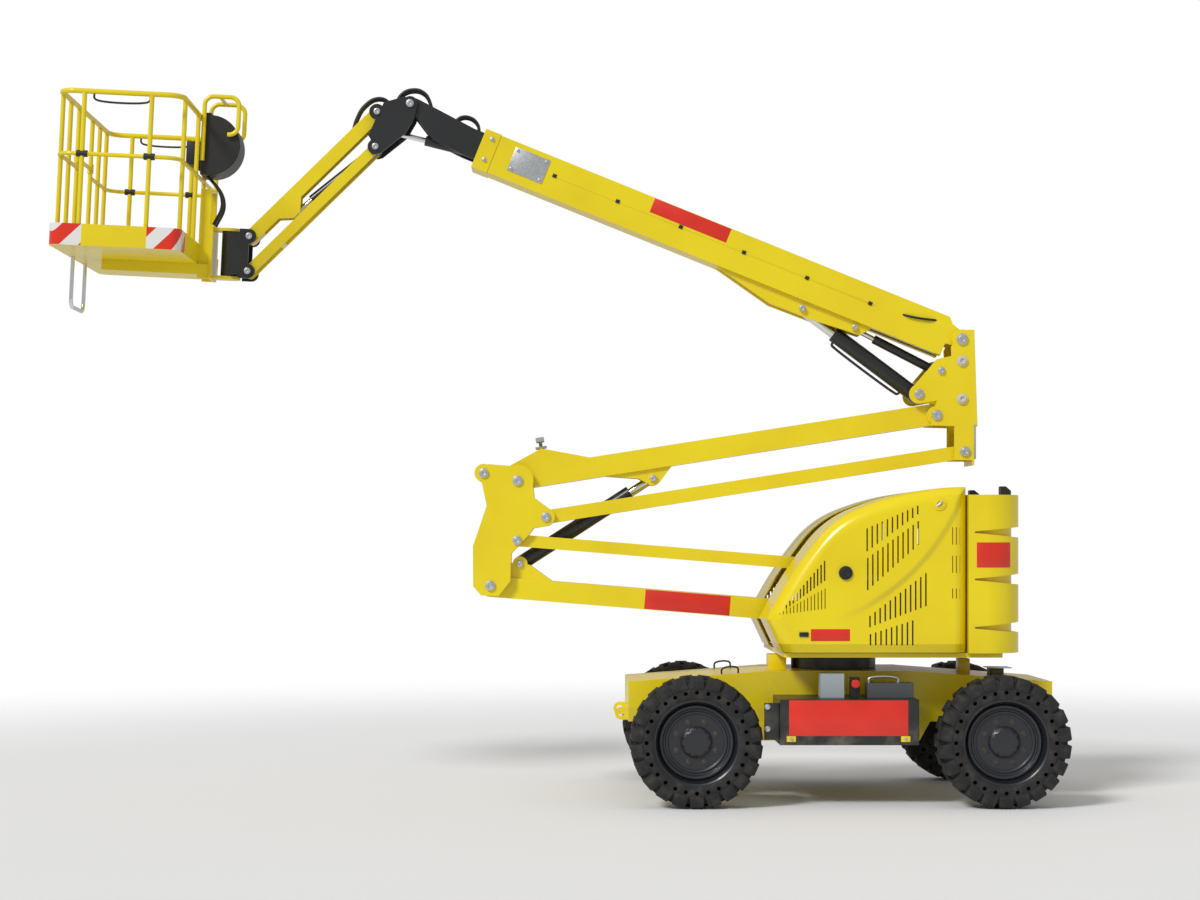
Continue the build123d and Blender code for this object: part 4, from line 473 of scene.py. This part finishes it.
for end, x in (("front", AXLE_X), ("rear", -AXLE_X)):
    for side, sign in SIDES:
        body = f"wheel_{end}_{side}"
        facing = Matrix.Scale(sign, 4, (0, 1, 0))
        tyre = twin_of(
            tyre_model, "tyre_" + body, Matrix.Translation((x, sign * WHEEL_Y, AXLE_HEIGHT)) @ facing
        )
        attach(tyre, body)
        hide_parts(f"tyre_{end}_{side}")
        dress(f"rim_{end}_{side}", rim_paint)
        at_axle = Matrix.Translation((x, 0, AXLE_HEIGHT))
        on_disc = Matrix.Translation((BOLT_CIRCLE, DISC_Y + 0.010, 0))
        bolts = gather(
            bolt_model, "bolts_" + body,
            [facing @ at_axle @ turn @ on_disc for turn in around(BOLT_COUNT, 0.5)],
        )
        fixed(painted(bolts, dull_steel), body)
        fixed(twin_of(ring_model, "rim_beads_" + body, at_axle @ facing), body)
bpy.data.objects.remove(tyre_model)
bpy.data.objects.remove(ring_model)

# Boxes between the wheels. Black sheet metal with a plain red panel on the outer face,
# small yellow corner plates under it and a bolted hinge plate at the end.
RED = (0.78, 0.022, 0.004, 1)
RED_DEEP = (0.66, 0.016, 0.003, 1)
FILM = 0.0015
BOX_FACE = 0.950
HINGE_FACE = 0.930
HINGE_PLATE = 0.012
CORNER_PLATE = 0.006
red_film, where, feed = new_finish("red_film", Coat_Weight=0.3)
drift = where.noise(3.0)
feed(Base_Color=drift.between(0.3, 0.7).blend(RED_DEEP, RED), Roughness=0.3 + drift * 0.1)


def panel(name, points, step, finish, body, width=0.0006, segments=2):
    """A plate or film with its edges rounded, on a body."""
    piece = round_edges(pushed(name, points, step), width, segments)
    fixed(painted(piece, finish), body)


def red_panel(place, points, sign, body):
    """A thin red film on one side's flat face."""
    panel("red_panel_" + place, points, (0, sign * FILM, 0), red_film, body)


def upright(x0, x1, z0, z1, y):
    """Corners of an upright rectangle facing sideways."""
    return [(x0, y, z0), (x1, y, z0), (x1, y, z1), (x0, y, z1)]


def bolt_pairs(body, name, spots, size=1.0):
    """Bolts on the outer faces of both sides of a body, from each bolt's place in XZ and its face's Y."""
    places = []
    for x, z, y in spots:
        far = Matrix.Translation((x, y + BOLT_STAND * size, z)) @ Matrix.Scale(size, 4)
        places += [far, MIRROR_Y @ far]
    fixed(gather(bolt_model, name, places), body)


for side, sign in SIDES:
    dress("side_box_" + side, chassis_black)
    face = sign * BOX_FACE
    red_panel("box_" + side, upright(-0.384, 0.372, 0.456, 0.682, face), sign, "chassis")
    for end, x in (("rear", -0.400), ("front", 0.326)):
        panel(
            f"corner_plate_{end}_{side}", upright(x, x + 0.059, 0.418, 0.455, face),
            (0, sign * CORNER_PLATE, 0), chassis_yellow, "chassis", 0.0015,
        )
    panel(
        "hinge_plate_" + side, upright(-0.540, -0.442, 0.430, 0.665, sign * (HINGE_FACE - HINGE_PLATE)),
        (0, sign * HINGE_PLATE, 0), chassis_black, "chassis", 0.003,
    )
bolt_pairs("chassis", "bolts_hinge_plates", [(-0.520, 0.640, HINGE_FACE), (-0.520, 0.500, HINGE_FACE)], 0.9)
corner_face = BOX_FACE + CORNER_PLATE
bolt_pairs("chassis", "bolts_corner_plates", [(x, 0.437, corner_face) for x in (-0.371, 0.355)], 0.55)

# Fittings on the right side box. A pale control box, a stop button on a black box, and a long
# dark grey box with its bent steel handle.
HANDLE_Y = -0.715
box_paint, where, feed = new_finish("box_paint")
drift = where.noise(12.0)
along_box = where.axes()[0]
shade = (along_box > 0.005).blend((0.36, 0.41, 0.44, 1), (0.012, 0.012, 0.013, 1))
feed(Base_Color=(along_box > 0.110).blend(shade, (0.075, 0.078, 0.082, 1)), Roughness=0.40 + drift * 0.12)
dress("chassis_fittings", box_paint, 0.006)
stop_button = round_edges(drum(40, 0.028, 0.020, (0.056, -0.800, 0.777)), 0.006, segments=4)
stop_button.name = "stop_button"
fixed(painted(stop_button, red_film), "chassis")


def hose(name, points, radius, finish, smooth=True):
    """A round hose or bent rod through its points, as a closed mesh."""
    bpy.ops.object.select_all(action="DESELECT")
    bpy.ops.curve.primitive_bezier_curve_add(location=(0, 0, 0))
    piece = bpy.context.object
    piece.name = name
    line = piece.data.splines[0]
    line.bezier_points.add(len(points) - 2)
    for knot, point in zip(line.bezier_points, points):
        knot.co = point
        knot.handle_left_type = knot.handle_right_type = "AUTO" if smooth else "VECTOR"
    piece.data.resolution_u = 10 if smooth else 2
    piece.data.bevel_depth = radius
    piece.data.bevel_resolution = 3
    piece.data.use_fill_caps = True
    bpy.ops.object.convert(target="MESH")
    tidy_mesh()
    bpy.ops.object.shade_smooth_by_angle(angle=radians(50))
    return painted(piece, finish)


fixed(hose("box_handle", [
    (x, HANDLE_Y, z) for x, z in ((0.150, 0.778), (0.152, 0.806), (0.170, 0.815), (0.320, 0.815),
                                  (0.338, 0.806), (0.340, 0.778))
], 0.009, zinc), "chassis")

# Deck. Welded yellow stops before and behind the slew ring, a low steel grab rail on each side, and
# a small valve under a steel plate at the steered end.
DECK_RAIL_Y = 0.385
PLATE_FOOT = 0.846
for name, corners, half in (
    ("slew_stop", (-0.440, -0.325, 0.836, 0.934), 0.110), ("lock_post", (0.836, 0.912, 0.800, 0.905), 0.060),
):
    panel(name, upright(*corners, -half), (0, 2 * half, 0), chassis_yellow, "chassis", 0.004)
panel(
    "valve_plate", upright(1.010, 1.170, PLATE_FOOT, 0.852, -0.200), (0, 0.200, 0),
    zinc, "chassis", 0.001,
)
panel(
    "valve_block", upright(1.030, 1.120, 0.785, PLATE_FOOT, -0.170), (0, 0.140, 0),
    dull_steel, "chassis", 0.004,
)
for side, sign in SIDES:
    fixed(hose("deck_rail_" + side, [
        (x, sign * DECK_RAIL_Y, z) for x, z in ((-0.775, 0.812), (-0.775, 0.846), (-0.768, 0.856),
                                                (-0.677, 0.863), (-0.668, 0.854), (-0.668, 0.820))
    ], 0.006, chassis_black), "chassis")

# Turret frame and power pack. Welded plates in the machine's yellow, without road dust,
# and a dull alloy engine and tank between them.
turret_yellow = sprayed("turret_yellow", YELLOW, YELLOW_DEEP, 0.24)
dress("turret_frame", turret_yellow)
alloy, where, feed = new_finish("engine_alloy", Metallic=0.6)
drift = where.noise(8.0)
feed(Base_Color=drift.blend((0.16, 0.16, 0.17, 1), (0.26, 0.26, 0.27, 1)), Roughness=0.5 + drift * 0.2)
dress("power_pack", alloy)

# Hoods and counterweight. Yellow moulded covers over the turret, with a raised crease and a sill,
# and a cast weight behind them in the same paint with a red band bent round each corner.
CREASE_CENTRE = (-0.540, 2.468)
CREASE_RADIUS = 1.337
CREASE_WIDTH = 0.050
SILL_TOP = 1.035
SILL_HEIGHT = 0.075
HOOD_FACE = 0.850
CORNER_X = 0.890
CORNER_RADIUS = 0.240
BAND_START = 0.824
BAND_REACH = 0.0016
BAND_TURN = radians(40.9)
hood_yellow = sprayed("hood_yellow", YELLOW, YELLOW_DEEP, 0.2)
moulded, where, feed = new_finish("moulded_hood", Coat_Weight=0.2, Coat_Roughness=0.12)
drift = where.noise(1.7)
ahead, _, up = where.axes()
from_x, from_z = ahead - CREASE_CENTRE[0], up - CREASE_CENTRE[1]
sweep = from_x.maths("SQRT", from_x * from_x + from_z * from_z)
proud = 1.0 - sweep.between(CREASE_RADIUS, CREASE_RADIUS + CREASE_WIDTH) * ahead.between(-0.15, 0.30)
sill = up.maths("MINIMUM", (up - SILL_TOP) / SILL_HEIGHT, 0.0)
feed(Base_Color=drift.between(0.25, 0.75).blend(YELLOW_DEEP, YELLOW), Roughness=0.2 + drift * 0.08)
feed(Normal=sill.bump(1.0, 0.034, Normal=proud.bump(1.0, 0.014)))
for node in ("hood_left", "hood_right"):
    dress(node, moulded, 0.004)
dress("counterweight", hood_yellow, 0.004)
black_plastic, where, feed = new_finish("black_plastic")
grain = where.noise(300.0)
feed(Base_Color=where.noise(5.0).blend((0.010, 0.010, 0.011, 1), (0.017, 0.017, 0.018, 1)))
feed(Roughness=0.38 + grain * 0.12, Normal=grain.bump(0.1, 0.0006))
dress("tail_lamp", black_plastic)


def bent_edge(reach):
    """The counterweight's side and part of its round corner seen from above, so far outside its face."""
    radius = CORNER_RADIUS + reach
    bend = [BAND_TURN * i / 10 for i in range(11)]
    return [(BAND_START, HOOD_FACE + reach)] + [
        (CORNER_X + radius * sin(angle), HOOD_FACE - CORNER_RADIUS + radius * cos(angle)) for angle in bend
    ]


for side, sign in SIDES:
    face = sign * HOOD_FACE
    red_panel(
        "hood_" + side, upright(-0.236, 0.014, 1.054, 1.131, face), sign, "hood_" + side
    )
    panel(
        "hood_latch_" + side, upright(-0.310, -0.251, 1.082, 1.111, face), (0, sign * 0.010, 0),
        black_plastic, "hood_" + side, 0.003,
    )
    band = bent_edge(BAND_REACH) + bent_edge(0.0)[::-1]
    panel(
        "red_panel_weight_" + side, [(x, sign * y, 1.524) for x, y in band], (0, 0, 0.161),
        red_film, "turret", 0.0004,
    )

# Riser. Two box-section arms, each with a pair of flat link bars, joined by the tall plates of the
# knuckle, all welded from cut plate and sprayed yellow.
KNUCKLE_PIN = (-2.3047, 1.3963)
LOWER_ARM_SLOPE = 4.64
LOWER_ARM_FACE = 0.110
RISER_FACE = 0.170
for node in ("lower_arm", "lower_link", "knuckle", "upper_arm", "upper_link", "mast"):
    dress(node, turret_yellow)
dull_rubber, where, feed = new_finish("dull_rubber", Roughness=0.8)
feed(Base_Color=where.noise(40.0).blend((0.32, 0.32, 0.31, 1), (0.42, 0.42, 0.40, 1)))
dress("boom_rest", dull_rubber)


def along(start, degrees_up, reach, offset, y):
    """A place on a tilted arm: so far along it towards the basket, so far above its axis, at a side."""
    c, s = cos(radians(degrees_up)), sin(radians(degrees_up))
    return (start[0] - reach * c + offset * s, y, start[1] + reach * s + offset * c)


def patch(start, degrees_up, reaches, offsets, y):
    """Corners of a rectangle on the side of a tilted arm."""
    (near, far), (low, high) = reaches, offsets
    corners = ((near, low), (far, low), (far, high), (near, high))
    return [along(start, degrees_up, reach, offset, y) for reach, offset in corners]


for side, sign in SIDES:
    corners = patch(KNUCKLE_PIN, LOWER_ARM_SLOPE, (-1.609, -1.038), (-0.072, 0.058), sign * LOWER_ARM_FACE)
    red_panel("riser_" + side, corners, sign, "lower_arm")
panel(
    "mast_strip", upright(0.920, 0.934, 2.240, 2.470, -RISER_FACE), (0, -0.004, 0),
    dull_rubber, "mast", 0.001,
)

# Pins. Zinc plated round heads with a socket, which show at every joint of the arms, and the same
# pressing in other finishes as buffers on the mast, locks on the hoods and a knob.
PIN_DEPTH = 0.014
LIFT_BASE = (0.555, 2.6739)
BOOM_PIVOT = (0.8416, 3.0384)
BASKET_ORIGIN = (-3.9181, 3.7331)
LOCK_PLACE = (0.586, 1.931)
HEAD_FACE = 0.115
cream_nylon, where, feed = new_finish("cream_nylon", Roughness=0.6)
feed(Base_Color=where.noise(40.0).blend((0.54, 0.52, 0.44, 1), (0.62, 0.60, 0.51, 1)))
pin_model = drum(40, 1.0, PIN_DEPTH)
pin_model.name = "pin_model"
bpy.ops.object.mode_set(mode="EDIT")
bpy.ops.mesh.select_all(action="DESELECT")
bpy.ops.object.mode_set(mode="OBJECT")
for face in pin_model.data.polygons:
    face.select = face.normal.y < -0.9
bpy.ops.object.mode_set(mode="EDIT")
bpy.ops.mesh.inset(thickness=0.32)
bpy.ops.mesh.extrude_region_move(TRANSFORM_OT_translate={"value": (0, -0.008, 0)})
bpy.ops.mesh.inset(thickness=0.28)
bpy.ops.mesh.extrude_region_move(TRANSFORM_OT_translate={"value": (0, 0.009, 0)})
bpy.ops.object.mode_set(mode="OBJECT")
painted(pin_model, zinc)


def pressing(x, y, z, radius, depth=1.0):
    """The place and size of one pin head on the near side."""
    return Matrix.Translation((x, y, z)) @ Matrix.Diagonal((radius, depth, radius, 1))


def pin_heads(body, name, spots, finish=zinc):
    """Pin heads on both sides of a body, from each pin's place in XZ, its head's Y and its radius."""
    places = []
    for x, z, y, radius in spots:
        near = pressing(x, -y - PIN_DEPTH / 2, z, radius)
        places += [near, MIRROR_Y @ near]
    group = round_edges(gather(pin_model, name, places), 0.0012)
    fixed(painted(group, finish), body)


pin_heads("knuckle", "pins_knuckle", [
    (*KNUCKLE_PIN, RISER_FACE, 0.034), (-2.1247, 1.6983, RISER_FACE, 0.031),
    (-2.121, 2.0969, RISER_FACE, 0.034), (-1.933, 1.8539, RISER_FACE, 0.031),
    (-2.3480, 2.1479, RISER_FACE, 0.032),
])
pin_heads("mast", "pins_mast", [
    (0.673, 2.5339, RISER_FACE, 0.034), (0.861, 2.2909, RISER_FACE, 0.034), (*BOOM_PIVOT, RISER_FACE, 0.038),
    (*LIFT_BASE, RISER_FACE, 0.032), (0.703, 2.8299, RISER_FACE, 0.024),
])
pin_heads("mast", "mast_buffers", [
    (0.841, 2.894, RISER_FACE, 0.036), (0.841, 2.641, RISER_FACE, 0.036),
], cream_nylon)
pin_heads("upper_arm", "pins_riser_eye", [(-1.215, 2.1151, 0.102, 0.022)])
pin_heads("lower_arm", "pins_riser_base", [(-2.1064, 1.5407, 0.088, 0.022)])
pin_heads("boom_outer", "pins_boom", [(-0.2172, 3.2527, 0.100, 0.022), (0.1353, 3.1242, 0.100, 0.018)])
pin_heads("head", "pins_head", [
    (-2.842, 4.6205, HEAD_FACE, 0.026), (-3.0629, 4.5662, HEAD_FACE, 0.022),
    (-3.0743, 4.3325, HEAD_FACE, 0.022),
])
pin_heads("platform_bracket", "pins_bracket", [
    (*BASKET_ORIGIN, HEAD_FACE, 0.022), (-3.9296, 3.4993, HEAD_FACE, 0.022),
])
lock_x, lock_z = LOCK_PLACE
for side, sign in SIDES:
    lock = gather(pin_model, "hood_lock_" + side, [
        Matrix.Scale(-sign, 4, (0, 1, 0)) @ pressing(lock_x, -HOOD_FACE - PIN_DEPTH / 4, lock_z, 0.042, 0.5)
    ])
    fixed(round_edges(painted(lock, hood_yellow), 0.0012), "hood_" + side)
    fixed(hose("lock_handle_" + side, [
        (lock_x + step, sign * (HOOD_FACE + out), lock_z + rise)
        for step, out, rise in ((-0.018, 0.010, -0.016), (0, 0.014, 0), (0.018, 0.010, 0.016))
    ], 0.008, zinc), "hood_" + side)
knob = gather(pin_model, "hood_knob", [pressing(-0.014, -HOOD_FACE - PIN_DEPTH / 2, 1.490, 0.044)])
fixed(painted(round_edges(knob, 0.002), black_plastic), "hood_right")

# Cylinders. Black barrels with chromed rods: one lifts the riser, one the boom, one the jib, and
# a pair keeps the basket level.
LIFT_SLOPE = 36.85
chrome, where, feed = new_finish("chrome", Metallic=1.0)
smear = where.noise(18.0)
feed(Base_Color=smear.blend((0.72, 0.73, 0.75, 1), (0.84, 0.85, 0.86, 1)), Roughness=0.07 + smear * 0.1)
for cylinder in ("riser", "lift", "level", "slave", "jib"):
    dress(cylinder + "_barrel", satin_black)
    dress(cylinder + "_rod", chrome, 0.0015)
fixed(hose("lift_pipe", [
    along(LIFT_BASE, LIFT_SLOPE, reach, offset, 0)
    for reach, offset in ((0.10, -0.045), (0.105, -0.066), (0.13, -0.072), (0.63, -0.072), (0.655, -0.066),
                          (0.66, -0.045))
], 0.009, satin_black), "lift_barrel")

# Boom. A yellow outer tube with a lapped cover plate and a red panel, and a black inner tube that
# slides out of its collar; a guard strip with its clips runs along the lap.
BOOM_SLOPE = 22.0
BOOM_FACE = 0.125
COLLAR_FACE = 0.130
CLIP_COUNT = 6
CLIP_PITCH = 0.455
MOUTH_HOSE_Y = 0.035
dress("boom_outer", turret_yellow)
dress("boom_inner", satin_black)


def on_boom(reaches, offsets, y):
    """Corners of a rectangle on the side of the boom."""
    return patch(BOOM_PIVOT, BOOM_SLOPE, reaches, offsets, y)


step_x, _, step_z = along((0, 0), BOOM_SLOPE, CLIP_PITCH, 0, 0)
for side, sign in SIDES:
    face = sign * BOOM_FACE
    corners = on_boom((1.700, 2.250), (0.013, 0.112), face)
    red_panel("boom_" + side, corners, sign, "boom_outer")
    panel(
        "boom_strip_" + side, on_boom((0.620, 2.960), (-0.006, 0.003), face), (0, sign * 0.003, 0),
        turret_yellow, "boom_outer", 0.001,
    )
    clip = pushed("boom_clip", on_boom((0.640, 0.668), (-0.014, 0.010), face), (0, sign * 0.007, 0))
    clips = spread(
        round_edges(clip, 0.002), "boom_clips_" + side,
        [Matrix.Translation((step_x * i, 0, step_z * i)) for i in range(CLIP_COUNT)],
    )
    fixed(painted(clips, black_plastic), "boom_outer")
panel(
    "boom_plate", on_boom((2.990, 3.240), (-0.085, 0.082), -BOOM_FACE), (0, -0.005, 0),
    zinc, "boom_outer", 0.0012,
)
plate_bolts = gather(bolt_model, "bolts_boom_plate", [
    MIRROR_Y @ Matrix.Translation((x, BOOM_FACE + BOLT_STAND, z)) @ Matrix.Scale(0.6, 4)
    for x, _, z in on_boom((3.012, 3.218), (-0.066, 0.063), 0)
])
fixed(plate_bolts, "boom_outer")
collar = [along(BOOM_PIVOT, BOOM_SLOPE, 3.406, offset, 0) for offset in (0.068, -0.078)]
bolt_pairs("boom_outer", "bolts_boom_collar", [(x, z, COLLAR_FACE) for x, _, z in collar], 0.8)
fixed(hose("boom_side_hose", [
    (0.440, -0.112, 3.212), (0.490, -0.134, 3.196), (0.570, -0.138, 3.180), (0.640, -0.134, 3.172),
    (0.690, -0.112, 3.168),
], 0.008, black_plastic), "boom_outer")
for side, sign in SIDES:
    fixed(hose("mouth_hose_" + side, [
        along(BOOM_PIVOT, BOOM_SLOPE, reach, offset, sign * MOUTH_HOSE_Y)
        for reach, offset in ((3.690, 0.090), (3.668, 0.135), (3.605, 0.160), (3.540, 0.135), (3.515, 0.090))
    ], 0.011, black_plastic), "boom_inner")

# Head, jib and platform bracket. Black plates at the boom's nose and behind the basket, with the
# jib's yellow arms between them; a pair of bent hoses runs over each of the two joints.
NOSE_LOOP = (
    (-2.704, 4.568), (-2.712, 4.640), (-2.755, 4.705), (-2.830, 4.724), (-2.905, 4.690), (-2.945, 4.600),
)
JIB_LOOP = (
    (-2.972, 4.590), (-2.990, 4.640), (-3.060, 4.668), (-3.150, 4.620), (-3.205, 4.530), (-3.228, 4.452),
)
for node in ("jib_head", "platform_bracket"):
    dress(node, satin_black)
for node in ("jib_upper_arm", "jib_lower_arm"):
    dress(node, turret_yellow)
for side, sign in SIDES:
    for name, loop, y, first, second in (
        ("nose_hose_", NOSE_LOOP, 0.040, "boom_inner", "head"),
        ("jib_hose_", JIB_LOOP, 0.028, "head", "jib_upper_arm"),
    ):
        points = [(x, sign * y, z) for x, z in loop]
        piece = hose(name + side, points, 0.012, black_plastic)
        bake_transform(piece)

# Basket. A yellow tray with bent tube rails, and red and white stripes on the toe boards' corners.
# A black box with two hoses hangs behind the console, and a thin rod guards each side.
BASKET_TILT = radians(2.8)
FLOOR_MIDDLE = -0.7575
FLOOR_CORNER = (0.3525, 0.83)
FLOOR_INNER_RADIUS = 0.067
STRIPE_FROM = (0.2075, 0.685)
STRIPE_LOW = -0.203
STRIPE_PITCH = 0.24
RAIL_Y = 0.870
SLEEVE_HEIGHT = 0.385
SLEEVE_HALF = 0.035
BASKET_HOSE_Y = 0.05
stripe_paint, where, feed = new_finish("stripe_paint", Coat_Weight=0.25, Coat_Roughness=0.12)
across, sideways, up = where.axes()
across, up = across - BASKET_ORIGIN[0], up - BASKET_ORIGIN[1]
level = across * cos(BASKET_TILT) - up * sin(BASKET_TILT)
height = across * sin(BASKET_TILT) + up * cos(BASKET_TILT)
from_middle = abs(level - FLOOR_MIDDLE)
corner_x = from_middle.maths("MAXIMUM", from_middle - FLOOR_CORNER[0])
corner_y = sideways.maths("MAXIMUM", abs(sideways) - FLOOR_CORNER[1])
outside = (corner_x * corner_x + corner_y * corner_y) > FLOOR_INNER_RADIUS ** 2
zone = outside * (from_middle > STRIPE_FROM[0]) * (abs(sideways) > STRIPE_FROM[1]) * (height > STRIPE_LOW)
drift = where.noise(1.7)
stripes = (((level + sideways - height) / STRIPE_PITCH) % 1.0 < 0.5).blend((0.80, 0.80, 0.78, 1), RED)
feed(Base_Color=zone.blend(drift.between(0.25, 0.75).blend(YELLOW_DEEP, YELLOW), stripes))
feed(Roughness=0.24 + drift * 0.08)
for node in (
    "basket_carrier", "basket_rails_left", "basket_rails_right", "basket_rails_front", "basket_rails_rear",
    "gate_bar", "console_guard",
):
    dress(node, turret_yellow, 0.0015)
dress("basket_floor", stripe_paint, 0.0015)
dress("basket_step", chrome, 0.0015)
dress("console", black_plastic, 0.006)


def in_basket(x, y, z):
    """A place in the basket's own tilted frame."""
    c, s = cos(BASKET_TILT), sin(BASKET_TILT)
    return (BASKET_ORIGIN[0] + x * c + z * s, y, BASKET_ORIGIN[1] - x * s + z * c)


for side, sign in SIDES:
    y = sign * RAIL_Y
    fixed(hose("side_rod_" + side, [
        in_basket(x, y, z) for x, z in ((-0.929, 0.768), (-0.928, 0.745), (-0.910, 0.730), (-0.590, 0.730),
                                        (-0.572, 0.745), (-0.570, 0.768))
    ], 0.007, satin_black), "basket")
    for place, x in (("outer", -0.990), ("inner", -0.560)):
        ends = [in_basket(x + step, y, SLEEVE_HEIGHT) for step in (-SLEEVE_HALF, SLEEVE_HALF)]
        sleeve = hose(f"rail_sleeve_{place}_{side}", ends, 0.022, black_plastic, smooth=False)
        fixed(sleeve, "basket")
panel("basket_box", [
    in_basket(x, -0.10, z) for x, z in ((-0.450, 0.463), (-0.346, 0.463), (-0.346, 0.620), (-0.450, 0.620))
], (0, 0.20, 0), black_plastic, "basket", 0.006, segments=3)
for side, sign in SIDES:
    fixed(hose("basket_hose_" + side, [
        in_basket(x, sign * BASKET_HOSE_Y, z)
        for x, z in ((-0.400, 0.470), (-0.310, 0.400), (-0.200, 0.230), (-0.258, 0.050))
    ], 0.011, black_plastic), "basket")
bpy.data.objects.remove(bolt_model)
bpy.data.objects.remove(pin_model)
